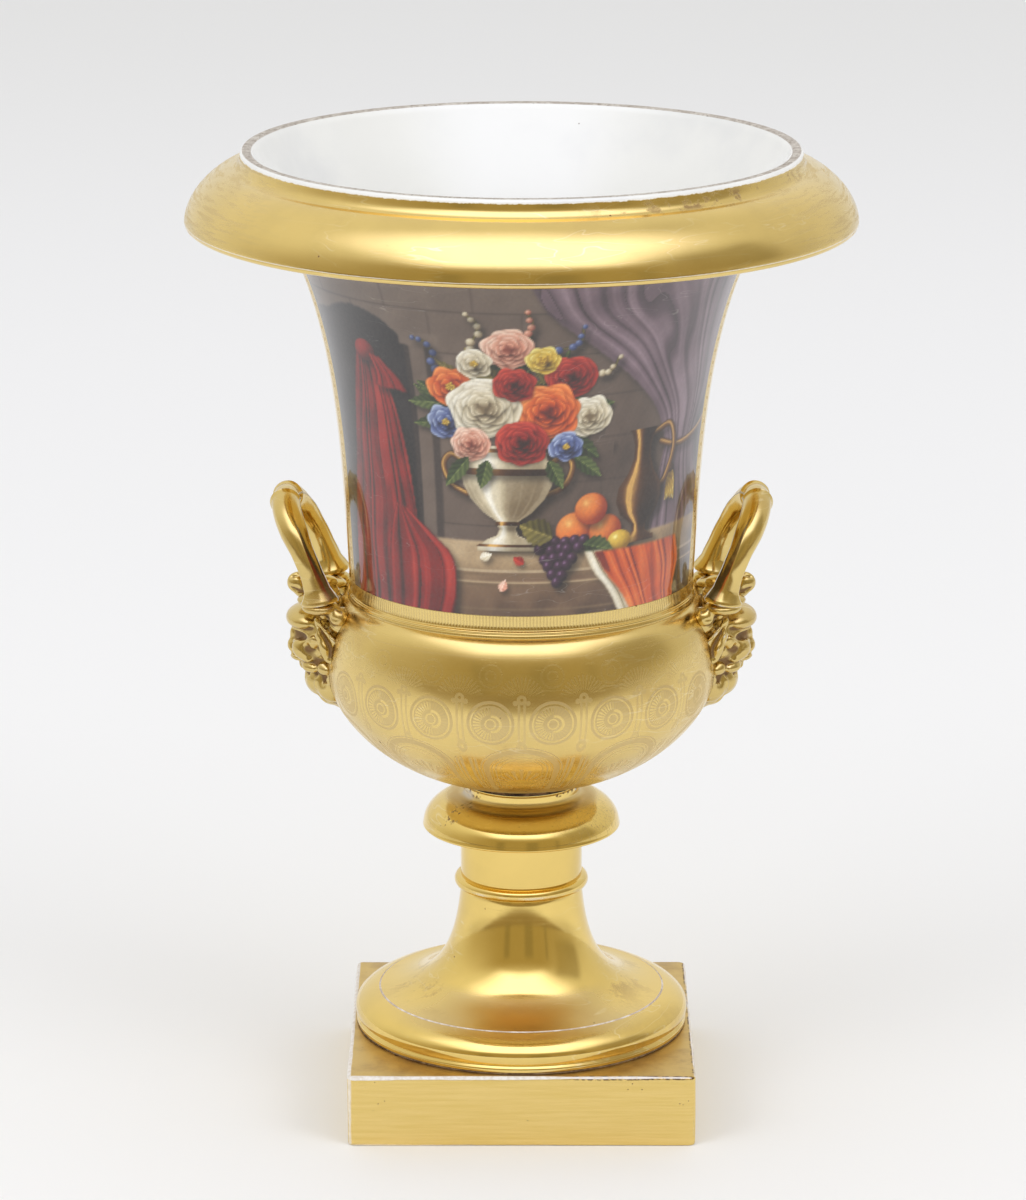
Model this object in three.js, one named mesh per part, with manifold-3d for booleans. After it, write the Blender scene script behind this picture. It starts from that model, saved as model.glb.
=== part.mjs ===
// Gilt campana vase with two loop handles on satyr masks, bolted to a pedestal and a square plinth.
// Millimetres, +Z up. Origin: centre of the plinth's underside. Handles at -X and +X, painted side -Y.

import * as THREE from 'three';
import { mergeVertices } from 'three/addons/utils/BufferGeometryUtils.js';
import Module from 'manifold-3d';

const wasm = await Module();
wasm.setup();

// Driving dimensions, plinth
const PLINTH_SIDE = 152;
const PLINTH_HEIGHT = 32;
const PLINTH_WALL = 6;
const PLINTH_CORNER_RADIUS = 2.5;

// Driving dimensions, pedestal: heights run upwards from its own underside
const BEDDING_THICKNESS = 0.8;
const FOOT_MARGIN = 1.2;
const FOOT_HEIGHT = 15.4;
const TORUS_WIDTH = 11.3;
const TRUMPET_HEIGHT = 47.4;
const STEM_RADIUS = 27.1;
const BEAD_RADIUS = 2.8;
const STEM_HEIGHT = 22.6;
const COLLAR_RADIUS = 43.8;
const COLLAR_HEIGHT = 13.8;
const COLLAR_EDGE = 1.2;
const NECKING_RADIUS = 25.5;
const NECKING_HEIGHT = 6.5;
const PEDESTAL_WALL = 6;

// Driving dimensions, body: heights run upwards from the bowl's underside
const BOWL_BEDDING_THICKNESS = 2.8;
const BOWL_FOOT_RADIUS = 29.9;
const BOWL_RADIUS = 86;
const BOWL_HEIGHT = 52;
const SHOULDER_HEIGHT = 31.5;
const NECK_RADIUS = 74;
const NECK_HEIGHT = 153;
const NECK_TOP_RADIUS = 98;
const LIP_RADIUS = 145.2;
const LIP_DROP = 30.4;
const LIP_EDGE = 1.6;
const LIP_HEIGHT = 44.6;
const MOUTH_RADIUS = 116.2;
const RIM_THICKNESS = 4.3;
const BODY_WALL = 5;
const BOWL_FLOOR = 8;

// Shape of the bowl and neck: how far each curve's handle reaches out (spread) or along (rise, drop)
const BOWL_FOOT_SPREAD = 27.4;
const BOWL_FOOT_RISE = 5.5;
const BOWL_SIDE_DROP = 24;
const SHOULDER_RISE = 15;
const SHOULDER_SPREAD = 8;
const SHOULDER_DROP = 3;
const NECK_STEP = 2;
const NECK_SWELL = 4.5;
const NECK_FOOT_RISE = 52;
const NECK_TOP_DROP = 46;

// Shape of the lip, outside and inside
const LIP_HOLLOW_SPREAD = 9;
const LIP_HOLLOW_RISE = 19;
const LIP_UNDERSIDE_WIDTH = 18;
const LIP_UNDERSIDE_RISE = 8;
const LIP_DOME_RISE = 11;
const LIP_DOME_SPREAD = 13;
const LIP_DOME_DROP = 9.5;
const RIM_FILLET_WIDTH = 4;
const RIM_FILLET_DROP = 7.5;
const MOUTH_SPREAD = 7;
const MOUTH_DROP = 14;
const THROAT_SPREAD = 2;
const THROAT_RISE = 16;

// Shape of the bowl's inside
const INNER_SHOULDER_SPREAD = 5;
const INNER_SHOULDER_DROP = 6;
const INNER_BELLY_RISE = 13;
const INNER_BELLY_DROP = 22;
const INNER_FLOOR_SPREAD = 22;
const INNER_FLOOR_RISE = 3;

// Shape of the foot, trumpet and collar
const FOOT_FILLET_WIDTH = 0.5;
const FOOT_FILLET_HEIGHT = 2.4;
const FOOT_GROOVE_WIDTH = 1.4;
const FOOT_GROOVE_HEIGHT = 3;
const TORUS_LOW_BULGE = 0.8;
const TORUS_LOW_RISE = 6.5;
const TORUS_HIGH_INSET = 1;
const TORUS_HIGH_DROP = 3.4;
const TRUMPET_LEDGE = 0.6;
const TRUMPET_FOOT_SPREAD = 7.2;
const TRUMPET_FOOT_RISE = 2.1;
const TRUMPET_TOP_RISE = 27.2;
const TRUMPET_INNER_RISE = 20;
const TRUMPET_INNER_SPREAD = 2;
const TRUMPET_INNER_DROP = 4;
const COLLAR_CHAMFER = 0.6;
const COLLAR_DOME_INSET = 0.8;
const COLLAR_DOME_RISE = 0.4;
const COLLAR_TOP_INSET = 1;
const COLLAR_TOP_RISE = 4.5;

// Driving dimensions, handles and masks
const HANDLE_TURN = 3;
const HANDLE_SPREAD = 53;
const HANDLE_HEIGHT = 40.3;
const HANDLE_BASE_REACH = 12.5;
const HANDLE_LEAN = 21;
const HANDLE_TUBE_RADIUS = 6.2;
const MASK_HEIGHT = 55;
const MASK_WIDTH = 58;
const MASK_REACH = 18;
const MASK_CROWN_RISE = 2;
const MASK_CROWN_HEIGHT = 10;
const MASK_CROWN_DEPTH = 26;
const MASK_CROWN_MARGIN = 1.3;
const SEAT_GAP = 0.3;

// Driving dimensions, tie rod and its hardware
const ROD_RADIUS = 4;
const ROD_HOLE_RADIUS = 5.5;
const ROD_END = 3.5;
const NUT_ACROSS_FLATS = 13;
const NUT_HEIGHT = 6.5;
const THREAD_CLEARANCE = 0.3;
const GASKET_THICKNESS = 1.5;
const GASKET_MARGIN = 2;
const BOWL_WASHER_RADIUS = 15;
const FOOT_WASHER_RADIUS = 26;
const WASHER_THICKNESS = 2.2;
const BEDDING_HOLE_MARGIN = 1.5;
const FOOT_BEDDING_INSET = 1.2;
const BOWL_BEDDING_OVERHANG = 0.8;

// Heights above the ground, each one built on the piece below
const plinthTop = PLINTH_HEIGHT;
const pedestalBottom = plinthTop + BEDDING_THICKNESS;
const footTop = pedestalBottom + FOOT_HEIGHT;
const trumpetTop = footTop + TRUMPET_HEIGHT;
const stemTop = trumpetTop + 2 * BEAD_RADIUS + STEM_HEIGHT;
const collarTop = stemTop + COLLAR_HEIGHT;
const pedestalTop = collarTop + NECKING_HEIGHT;
const bodyBottom = pedestalTop + BOWL_BEDDING_THICKNESS;
const bellyZ = bodyBottom + BOWL_HEIGHT;
const shoulderZ = bellyZ + SHOULDER_HEIGHT;
const neckTop = shoulderZ + NECK_HEIGHT;
const mouthZ = neckTop + LIP_HEIGHT;
const lipEdgeZ = mouthZ - LIP_DROP;
const bowlFloorZ = bodyBottom + BOWL_FLOOR;
const plinthCeiling = plinthTop - PLINTH_WALL;
const rimOuterRadius = MOUTH_RADIUS + RIM_THICKNESS;

// Radii that follow the plinth: the foot stands inside its edge and the trumpet inside the foot's torus
const footRadius = PLINTH_SIDE / 2 - FOOT_MARGIN;
const trumpetRadius = footRadius - TORUS_WIDTH;

// Smoothness: pieces of each curve and segments of each turn
const CURVE_STEPS = 5;
const PEDESTAL_CURVE_STEPS = 4;
const BODY_SEGMENTS = 60;
const PEDESTAL_SEGMENTS = 40;
const HARDWARE_SEGMENTS = 24;
const HANDLE_STEPS = 22;
const HANDLE_SECTION_SIDES = 10;
const LUMP_SEGMENTS = 10;
const LUMP_ROWS = 6;
const CROWN_SEGMENTS = 20;
const CORNER_STEPS = 4;

// Finishes
const gilding = { color: 0xc9a24a, roughness: 0.22, metalness: 1 };
const glaze = { color: 0xeceae6, roughness: 0.12, metalness: 0 };
const plaster = { color: 0x6f6252, roughness: 0.95, metalness: 0 };
const iron = { color: 0x4b4743, roughness: 0.6, metalness: 1 };
const brass = { color: 0xb08a3e, roughness: 0.4, metalness: 1 };
const leather = { color: 0x5a3a22, roughness: 0.85, metalness: 0 };

const vase = new THREE.Group();

function addPiece(name, geometry, finish, parent = vase) {
  const mesh = new THREE.Mesh(geometry, new THREE.MeshStandardMaterial(finish));
  mesh.name = name;
  parent.add(mesh);
  return mesh;
}

// A solid of revolution about Z from a path of radius and height that closes on itself
function turned(path, segments, curveSteps = CURVE_STEPS) {
  const points = path.getPoints(curveSteps);
  const first = points[0];
  const last = points[points.length - 1];
  if (first.distanceTo(last) > 1e-6) {
    points.push(first.clone());
  }
  const outline = THREE.ShapeUtils.isClockWise(points) ? points.reverse() : points;
  const geometry = new THREE.LatheGeometry(outline, segments);
  geometry.rotateX(Math.PI / 2);
  return geometry;
}

function ring(innerRadius, outerRadius, bottomZ, topZ, segments = HARDWARE_SEGMENTS) {
  const path = new THREE.Path();
  path.moveTo(innerRadius, bottomZ);
  path.lineTo(outerRadius, bottomZ);
  path.lineTo(outerRadius, topZ);
  path.lineTo(innerRadius, topZ);
  path.closePath();
  return turned(path, segments);
}

function toSolid(geometry) {
  const bare = geometry.index ? geometry.toNonIndexed() : geometry.clone();
  bare.deleteAttribute('normal');
  bare.deleteAttribute('uv');
  const merged = mergeVertices(bare, 1e-4);
  const corners = merged.index.array;
  const triangles = [];
  for (let i = 0; i < corners.length; i += 3) {
    const [a, b, c] = [corners[i], corners[i + 1], corners[i + 2]];
    if (a !== b && b !== c && c !== a) {
      triangles.push(a, b, c);
    }
  }
  return new wasm.Manifold(new wasm.Mesh({
    numProp: 3,
    vertProperties: new Float32Array(merged.attributes.position.array),
    triVerts: new Uint32Array(triangles),
  }));
}

function toGeometry(solid) {
  const mesh = solid.getMesh();
  const geometry = new THREE.BufferGeometry();
  geometry.setAttribute('position', new THREE.BufferAttribute(new Float32Array(mesh.vertProperties), 3));
  geometry.setIndex(new THREE.BufferAttribute(new Uint32Array(mesh.triVerts), 1));
  geometry.computeVertexNormals();
  return geometry;
}

// Outside of the body from the bowl's underside to the neck's top, grown by a clearance
function traceBowlAndNeck(path, clearance) {
  const bellyRadius = BOWL_RADIUS + clearance;
  const neckRadius = NECK_RADIUS + clearance;
  path.bezierCurveTo(
    BOWL_FOOT_RADIUS + BOWL_FOOT_SPREAD + clearance, bodyBottom + BOWL_FOOT_RISE,
    bellyRadius, bellyZ - BOWL_SIDE_DROP,
    bellyRadius, bellyZ,
  );
  path.bezierCurveTo(
    bellyRadius, bellyZ + SHOULDER_RISE,
    neckRadius + SHOULDER_SPREAD, shoulderZ - SHOULDER_DROP,
    neckRadius + NECK_STEP, shoulderZ,
  );
  path.lineTo(neckRadius + NECK_STEP / 2, shoulderZ + NECK_STEP);
  path.bezierCurveTo(
    neckRadius + NECK_SWELL, shoulderZ + NECK_FOOT_RISE,
    neckRadius + NECK_SWELL, neckTop - NECK_TOP_DROP,
    NECK_TOP_RADIUS + clearance, neckTop,
  );
}

function traceLip(path) {
  path.bezierCurveTo(
    NECK_TOP_RADIUS + LIP_HOLLOW_SPREAD, neckTop + LIP_HOLLOW_RISE,
    LIP_RADIUS - LIP_UNDERSIDE_WIDTH, lipEdgeZ + LIP_UNDERSIDE_RISE,
    LIP_RADIUS - LIP_EDGE, lipEdgeZ - LIP_EDGE,
  );
  path.lineTo(LIP_RADIUS, lipEdgeZ);
  path.bezierCurveTo(
    LIP_RADIUS - 1, lipEdgeZ + LIP_DOME_RISE,
    rimOuterRadius + LIP_DOME_SPREAD, mouthZ - LIP_DOME_DROP,
    rimOuterRadius + RIM_FILLET_WIDTH, mouthZ - RIM_FILLET_DROP,
  );
  path.lineTo(rimOuterRadius, mouthZ);
  path.lineTo(MOUTH_RADIUS, mouthZ);
}

function traceInside(path) {
  const neckInside = NECK_RADIUS - BODY_WALL;
  const bellyInside = BOWL_RADIUS - BODY_WALL;
  path.bezierCurveTo(
    MOUTH_RADIUS - MOUTH_SPREAD, mouthZ - MOUTH_DROP,
    NECK_TOP_RADIUS + THROAT_SPREAD, neckTop + THROAT_RISE,
    NECK_TOP_RADIUS - BODY_WALL, neckTop,
  );
  path.bezierCurveTo(
    neckInside + NECK_SWELL, neckTop - NECK_TOP_DROP,
    neckInside + NECK_SWELL, shoulderZ + NECK_FOOT_RISE,
    neckInside + NECK_STEP / 2, shoulderZ + NECK_STEP,
  );
  path.bezierCurveTo(
    neckInside + INNER_SHOULDER_SPREAD, shoulderZ - INNER_SHOULDER_DROP,
    bellyInside, bellyZ + INNER_BELLY_RISE,
    bellyInside, bellyZ,
  );
  path.bezierCurveTo(
    bellyInside, bellyZ - INNER_BELLY_DROP,
    BOWL_FOOT_RADIUS + INNER_FLOOR_SPREAD, bowlFloorZ + INNER_FLOOR_RISE,
    BOWL_FOOT_RADIUS - BODY_WALL, bowlFloorZ,
  );
}

function bodyPath() {
  const path = new THREE.Path();
  path.moveTo(ROD_HOLE_RADIUS, bodyBottom);
  path.lineTo(BOWL_FOOT_RADIUS, bodyBottom);
  traceBowlAndNeck(path, 0);
  traceLip(path);
  traceInside(path);
  path.lineTo(ROD_HOLE_RADIUS, bowlFloorZ);
  path.closePath();
  return path;
}

function traceFootAndTrumpet(path) {
  path.lineTo(footRadius - FOOT_FILLET_WIDTH, pedestalBottom);
  path.lineTo(footRadius - FOOT_FILLET_WIDTH, pedestalBottom + FOOT_FILLET_HEIGHT);
  path.lineTo(footRadius - FOOT_GROOVE_WIDTH, pedestalBottom + FOOT_GROOVE_HEIGHT);
  path.bezierCurveTo(
    footRadius + TORUS_LOW_BULGE, pedestalBottom + TORUS_LOW_RISE,
    footRadius - TORUS_HIGH_INSET, footTop - TORUS_HIGH_DROP,
    trumpetRadius + TRUMPET_LEDGE, footTop - TRUMPET_LEDGE,
  );
  path.lineTo(trumpetRadius, footTop);
  path.bezierCurveTo(
    STEM_RADIUS + TRUMPET_FOOT_SPREAD, footTop + TRUMPET_FOOT_RISE,
    STEM_RADIUS, footTop + TRUMPET_TOP_RISE,
    STEM_RADIUS, trumpetTop,
  );
}

function traceStemAndCollar(path) {
  path.absarc(STEM_RADIUS, trumpetTop + BEAD_RADIUS, BEAD_RADIUS, -Math.PI / 2, Math.PI / 2, false);
  path.lineTo(STEM_RADIUS, stemTop);
  path.lineTo(COLLAR_RADIUS - COLLAR_CHAMFER, stemTop);
  path.lineTo(COLLAR_RADIUS, stemTop + COLLAR_EDGE);
  path.bezierCurveTo(
    COLLAR_RADIUS - COLLAR_DOME_INSET, collarTop + COLLAR_DOME_RISE,
    NECKING_RADIUS - COLLAR_TOP_INSET, collarTop + COLLAR_TOP_RISE,
    NECKING_RADIUS, collarTop,
  );
  path.lineTo(NECKING_RADIUS, pedestalTop);
}

function pedestalPath() {
  const path = new THREE.Path();
  path.moveTo(footRadius - PEDESTAL_WALL, pedestalBottom);
  traceFootAndTrumpet(path);
  traceStemAndCollar(path);
  path.lineTo(ROD_HOLE_RADIUS, pedestalTop);
  path.lineTo(ROD_HOLE_RADIUS, pedestalTop - PEDESTAL_WALL);
  path.lineTo(NECKING_RADIUS - PEDESTAL_WALL, pedestalTop - PEDESTAL_WALL);
  path.lineTo(STEM_RADIUS - PEDESTAL_WALL, stemTop);
  path.lineTo(STEM_RADIUS - PEDESTAL_WALL, trumpetTop);
  path.bezierCurveTo(
    STEM_RADIUS - PEDESTAL_WALL, footTop + TRUMPET_INNER_RISE,
    STEM_RADIUS + TRUMPET_INNER_SPREAD, footTop - TRUMPET_INNER_DROP,
    trumpetRadius - PEDESTAL_WALL, footTop - PEDESTAL_WALL,
  );
  path.closePath();
  return path;
}

function squareShape(side, radius) {
  const half = side / 2;
  const shape = new THREE.Shape();
  shape.moveTo(half - radius, -half);
  shape.absarc(half - radius, -half + radius, radius, -Math.PI / 2, 0, false);
  shape.absarc(half - radius, half - radius, radius, 0, Math.PI / 2, false);
  shape.absarc(-half + radius, half - radius, radius, Math.PI / 2, Math.PI, false);
  shape.absarc(-half + radius, -half + radius, radius, Math.PI, Math.PI * 1.5, false);
  shape.closePath();
  return shape;
}

function plinthGeometry() {
  const options = { depth: PLINTH_HEIGHT, bevelEnabled: false, curveSegments: CORNER_STEPS };
  const block = toSolid(new THREE.ExtrudeGeometry(squareShape(PLINTH_SIDE, PLINTH_CORNER_RADIUS), options));
  const hollowSide = PLINTH_SIDE - 2 * PLINTH_WALL;
  const hollow = new THREE.ExtrudeGeometry(squareShape(hollowSide, PLINTH_CORNER_RADIUS), options);
  hollow.translate(0, 0, -PLINTH_WALL);
  const bore = new THREE.CylinderGeometry(ROD_HOLE_RADIUS, ROD_HOLE_RADIUS, PLINTH_HEIGHT, HARDWARE_SEGMENTS);
  bore.rotateX(Math.PI / 2);
  bore.translate(0, 0, plinthTop);
  return toGeometry(block.subtract(toSolid(hollow)).subtract(toSolid(bore)));
}

// The space that the body takes, grown by the seat gap: the masks are cut back to it
function bodyClearanceSolid() {
  const path = new THREE.Path();
  path.moveTo(0, bodyBottom - SEAT_GAP);
  path.lineTo(BOWL_FOOT_RADIUS + SEAT_GAP, bodyBottom - SEAT_GAP);
  traceBowlAndNeck(path, SEAT_GAP);
  path.lineTo(0, neckTop);
  const geometry = new THREE.LatheGeometry(path.getPoints(CURVE_STEPS), BODY_SEGMENTS);
  geometry.rotateX(Math.PI / 2);
  return toSolid(geometry);
}

// Mask and handle share a frame: x outwards from the vase's axis, y along the bowl, z up
const maskTop = shoulderZ + MASK_CROWN_RISE;
const maskBottom = maskTop - MASK_HEIGHT;
const handleBottom = maskTop + SEAT_GAP;
const handleBaseX = NECK_RADIUS + HANDLE_BASE_REACH;
const maskFaceX = BOWL_RADIUS + MASK_REACH;

function ball(center, radii) {
  const geometry = new THREE.SphereGeometry(1, LUMP_SEGMENTS, LUMP_ROWS);
  geometry.rotateX(Math.PI / 2);
  geometry.scale(radii[0], radii[1], radii[2]);
  geometry.translate(center[0], center[1], center[2]);
  return toSolid(geometry);
}

function maskSolid(side) {
  const halfWidth = MASK_WIDTH / 2;
  const faceX = maskFaceX;
  const lumps = [
    // skull, brow and cheeks
    [[faceX - 15, 0, maskTop - 18], [14, halfWidth * 0.72, 18]],
    [[faceX - 6, 0, maskTop - 14], [6.5, halfWidth * 0.5, 5]],
    [[faceX - 10, halfWidth * 0.38, maskTop - 27], [9, 8, 7]],
    [[faceX - 10, -halfWidth * 0.38, maskTop - 27], [9, 8, 7]],
    // nose, lips and beard
    [[faceX - 4, 0, maskTop - 23], [5.5, 4.2, 7]],
    [[faceX - 6, 0, maskTop - 32], [6.5, 9.5, 4]],
    [[faceX - 15, 0, maskTop - 40], [10, 13, 13]],
  ];
  let solid = lumps.map(([center, radii]) => ball(center, radii)).reduce((sum, lump) => sum.add(lump));
  // crown that carries the handle's two feet
  const crown = new THREE.CylinderGeometry(1, 1, MASK_CROWN_HEIGHT, CROWN_SEGMENTS);
  crown.rotateX(Math.PI / 2);
  const crownHalfWidth = HANDLE_SPREAD / 2 + HANDLE_TUBE_RADIUS + MASK_CROWN_MARGIN;
  crown.scale(MASK_CROWN_DEPTH / 2, crownHalfWidth, 1);
  crown.translate(handleBaseX, 0, maskTop - MASK_CROWN_HEIGHT / 2);
  solid = solid.add(toSolid(crown));
  for (const hand of [-1, 1]) {
    // ears and hair
    solid = solid.add(ball([faceX - 16, hand * halfWidth * 0.86, maskTop - 18], [6, 5.5, 11]));
    solid = solid.add(ball([faceX - 22, hand * halfWidth * 0.9, maskTop - 12], [8, 7.5, 8]));
  }
  // beard's point runs down onto the bowl
  solid = solid.add(ball([faceX - 23, 0, maskBottom + 12], [10, 8, 12]));
  const turn = side > 0 ? HANDLE_TURN : 180 - HANDLE_TURN;
  return solid.rotate(0, 0, turn).subtract(bodyClearance);
}

function handleGeometry() {
  const half = HANDLE_SPREAD / 2;
  const lean = Math.tan(THREE.MathUtils.degToRad(HANDLE_LEAN));
  const springZ = HANDLE_HEIGHT - half;
  const points = [];
  const straightSteps = 3;
  for (let step = 0; step < straightSteps; step++) {
    points.push([-half, springZ * step / straightSteps]);
  }
  const archSteps = 10;
  for (let step = 0; step <= archSteps; step++) {
    const angle = Math.PI * (1 - step / archSteps);
    points.push([half * Math.cos(angle), springZ + half * Math.sin(angle)]);
  }
  for (let step = straightSteps - 1; step >= 0; step--) {
    points.push([half, springZ * step / straightSteps]);
  }
  const route = new THREE.CatmullRomCurve3(points.map(([y, rise]) => (
    new THREE.Vector3(handleBaseX + rise * lean, y, handleBottom + rise)
  )));
  const section = new THREE.Shape();
  section.absellipse(0, 0, HANDLE_TUBE_RADIUS, HANDLE_TUBE_RADIUS, 0, Math.PI * 2, false, 0);
  return new THREE.ExtrudeGeometry(section, {
    extrudePath: route,
    steps: HANDLE_STEPS,
    curveSegments: HANDLE_SECTION_SIDES / 2,
    bevelEnabled: false,
  });
}

// The tube's ends are trimmed level, a seat gap above the mask's crown
function handleSolid(side) {
  const turn = side > 0 ? HANDLE_TURN : 180 - HANDLE_TURN;
  return toSolid(handleGeometry()).trimByPlane([0, 0, 1], handleBottom).rotate(0, 0, turn);
}

function nutGeometry(bottomZ) {
  const cornerRadius = NUT_ACROSS_FLATS / Math.sqrt(3);
  const hexagon = new THREE.Shape();
  for (let corner = 0; corner < 6; corner++) {
    const angle = corner * Math.PI / 3;
    const method = corner === 0 ? 'moveTo' : 'lineTo';
    hexagon[method](cornerRadius * Math.cos(angle), cornerRadius * Math.sin(angle));
  }
  hexagon.closePath();
  const hole = new THREE.Path();
  hole.absarc(0, 0, ROD_RADIUS + THREAD_CLEARANCE, 0, Math.PI * 2, true);
  hexagon.holes.push(hole);
  const geometry = new THREE.ExtrudeGeometry(hexagon, {
    depth: NUT_HEIGHT,
    bevelEnabled: false,
    curveSegments: HARDWARE_SEGMENTS / 2,
  });
  geometry.translate(0, 0, bottomZ);
  return geometry;
}

// Fired pieces
const bodyClearance = bodyClearanceSolid();
addPiece('plinth', plinthGeometry(), gilding);
addPiece('pedestal', turned(pedestalPath(), PEDESTAL_SEGMENTS, PEDESTAL_CURVE_STEPS), gilding);
addPiece('vase_body', turned(bodyPath(), BODY_SEGMENTS), glaze);
for (const [name, side] of [['left', -1], ['right', 1]]) {
  addPiece(`mask_${name}`, toGeometry(maskSolid(side)), gilding);
  addPiece(`handle_${name}`, toGeometry(handleSolid(side)), gilding);
}

// Plaster in the two joints
const holeClear = ROD_HOLE_RADIUS + BEDDING_HOLE_MARGIN;
const footBeddingRadius = footRadius - FOOT_BEDDING_INSET;
const bowlBeddingRadius = NECKING_RADIUS + BOWL_BEDDING_OVERHANG;
addPiece(
  'foot_bedding',
  ring(footRadius - PEDESTAL_WALL, footBeddingRadius, plinthTop, pedestalBottom, PEDESTAL_SEGMENTS),
  plaster,
);
addPiece('bowl_bedding', ring(holeClear, bowlBeddingRadius, pedestalTop, bodyBottom), plaster);

// Bolt: leather, washer and nut at each end of the rod
const washerHole = ROD_RADIUS + THREAD_CLEARANCE;
const bowlGasketTop = bowlFloorZ + GASKET_THICKNESS;
const bowlWasherTop = bowlGasketTop + WASHER_THICKNESS;
const bowlNutTop = bowlWasherTop + NUT_HEIGHT;
const footGasketBottom = plinthCeiling - GASKET_THICKNESS;
const footWasherBottom = footGasketBottom - WASHER_THICKNESS;
const footNutBottom = footWasherBottom - NUT_HEIGHT;
const bowlGasketRadius = BOWL_WASHER_RADIUS + GASKET_MARGIN;
const footGasketRadius = FOOT_WASHER_RADIUS + GASKET_MARGIN;
addPiece('bowl_gasket', ring(washerHole, bowlGasketRadius, bowlFloorZ, bowlGasketTop), leather);
addPiece('bowl_washer', ring(washerHole, BOWL_WASHER_RADIUS, bowlGasketTop, bowlWasherTop), brass);
addPiece('bowl_nut', nutGeometry(bowlWasherTop), brass);
addPiece('foot_gasket', ring(washerHole, footGasketRadius, footGasketBottom, plinthCeiling), leather);
addPiece('foot_washer', ring(washerHole, FOOT_WASHER_RADIUS, footWasherBottom, footGasketBottom), iron);
addPiece('foot_nut', nutGeometry(footNutBottom), iron);

const rodBottom = footNutBottom - ROD_END;
const rodTop = bowlNutTop + ROD_END;
const rod = new THREE.CylinderGeometry(ROD_RADIUS, ROD_RADIUS, rodTop - rodBottom, HARDWARE_SEGMENTS);
rod.rotateX(Math.PI / 2);
rod.translate(0, 0, (rodTop + rodBottom) / 2);
addPiece('tie_rod', rod, iron);

export default vase;
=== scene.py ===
import copy
import math

import bmesh
import bpy
import numpy as np
from bpy.props import FloatProperty, FloatVectorProperty, IntProperty, PointerProperty
from mathutils import Matrix, Vector


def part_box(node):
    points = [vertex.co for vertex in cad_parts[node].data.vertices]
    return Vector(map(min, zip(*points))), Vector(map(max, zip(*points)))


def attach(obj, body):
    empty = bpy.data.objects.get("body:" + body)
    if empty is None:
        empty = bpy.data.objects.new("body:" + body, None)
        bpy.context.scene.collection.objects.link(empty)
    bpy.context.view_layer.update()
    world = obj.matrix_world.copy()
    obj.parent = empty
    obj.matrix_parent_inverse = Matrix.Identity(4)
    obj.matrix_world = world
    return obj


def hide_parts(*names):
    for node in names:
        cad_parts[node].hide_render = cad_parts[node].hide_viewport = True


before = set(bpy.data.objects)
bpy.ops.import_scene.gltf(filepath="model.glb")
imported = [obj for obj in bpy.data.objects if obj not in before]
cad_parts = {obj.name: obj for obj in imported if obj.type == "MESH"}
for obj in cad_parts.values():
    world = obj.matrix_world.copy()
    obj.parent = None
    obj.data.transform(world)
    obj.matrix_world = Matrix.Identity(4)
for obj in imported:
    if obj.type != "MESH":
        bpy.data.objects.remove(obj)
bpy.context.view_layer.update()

bl_info = {
    "name": "Gilt campana vase",
    "version": (1, 0, 0),
    "blender": (4, 5, 0),
    "location": "View3D > Sidebar > Vase",
    "description": "Builds a gilt porcelain campana vase with mask handles round its packed frame",
    "category": "Object",
}

MM = 0.001
BODY = "root"
TURN = 2 * math.pi

# Heights and radii in millimetres, read from the frame's boxes


def top_of(node):
    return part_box(node)[1].z / MM


def bottom_of(node):
    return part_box(node)[0].z / MM


def ends_of(node):
    return bottom_of(node), top_of(node)


def radius_of(node):
    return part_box(node)[1].x / MM


plinth_top = top_of("plinth")
plinth_side = 2 * radius_of("plinth")
foot_bottom = bottom_of("pedestal")
foot_radius = radius_of("pedestal")
pedestal_top = top_of("pedestal")
bowl_bottom = bottom_of("vase_body")
mouth_z = top_of("vase_body")
lip_radius = radius_of("vase_body")
gasket_low = bottom_of("bowl_gasket")

# Thickness of pedestal and plinth, radius of the bolt's holes and height of the tooled band's upper edge
FIRED_WALL = 6
BOLT_HOLE = 5.5
BAND_HEIGHT = 9.4


def size_of(name, meaning, default):
    """A setting in millimetres."""
    return FloatProperty(name=name, description=meaning + ", in millimetres", default=default)


def colour_of(name, meaning, default):
    return FloatVectorProperty(name=name, description=meaning, subtype="COLOR", default=default)


def length_of(name, meaning, default):
    """A setting in metres."""
    return FloatProperty(name=name, description=meaning, default=default, unit="LENGTH")


class VaseSizes(bpy.types.PropertyGroup):
    """Sizes that the frame's boxes don't give"""

    bowl_radius: size_of("Bowl radius", "Widest radius of the bowl", 86.0)
    bowl_height: size_of("Bowl height", "Bowl's underside to its widest ring", 52.0)
    shoulder_height: size_of("Shoulder height", "Widest ring to the neck's foot", 31.5)
    neck_radius: size_of("Neck radius", "Radius at the neck's foot", 74.0)
    neck_height: size_of("Neck height", "Neck's foot to the spring of the lip", 153.0)
    neck_top_radius: size_of("Neck top radius", "Radius where the lip springs", 98.0)
    mouth_radius: size_of("Mouth radius", "Radius of the opening", 116.2)
    rim_thickness: size_of("Rim thickness", "Width of the bare ring round the mouth", 4.3)
    wall: size_of("Wall", "Thickness of the body's wall", 5.0)
    turns: IntProperty(name="Segments", description="Segments of the body's full turn", default=256, min=64)


class VaseFinishes(bpy.types.PropertyGroup):
    """Colours"""

    gold: colour_of("Burnished gold", "Pedestal, plinth and handles", (0.88, 0.65, 0.21))
    body_gold: colour_of("Body gold", "Bowl, neck and lip", (0.82, 0.62, 0.235))
    matt_gold: colour_of("Matt gold", "Colour of unburnished gold", (0.7, 0.54, 0.25))
    glaze: colour_of("White glaze", "Colour of the glazed inside", (0.84, 0.84, 0.81))
    biscuit: colour_of("Bare rim", "Colour of the unglazed rim", (0.4, 0.35, 0.3))


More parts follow.
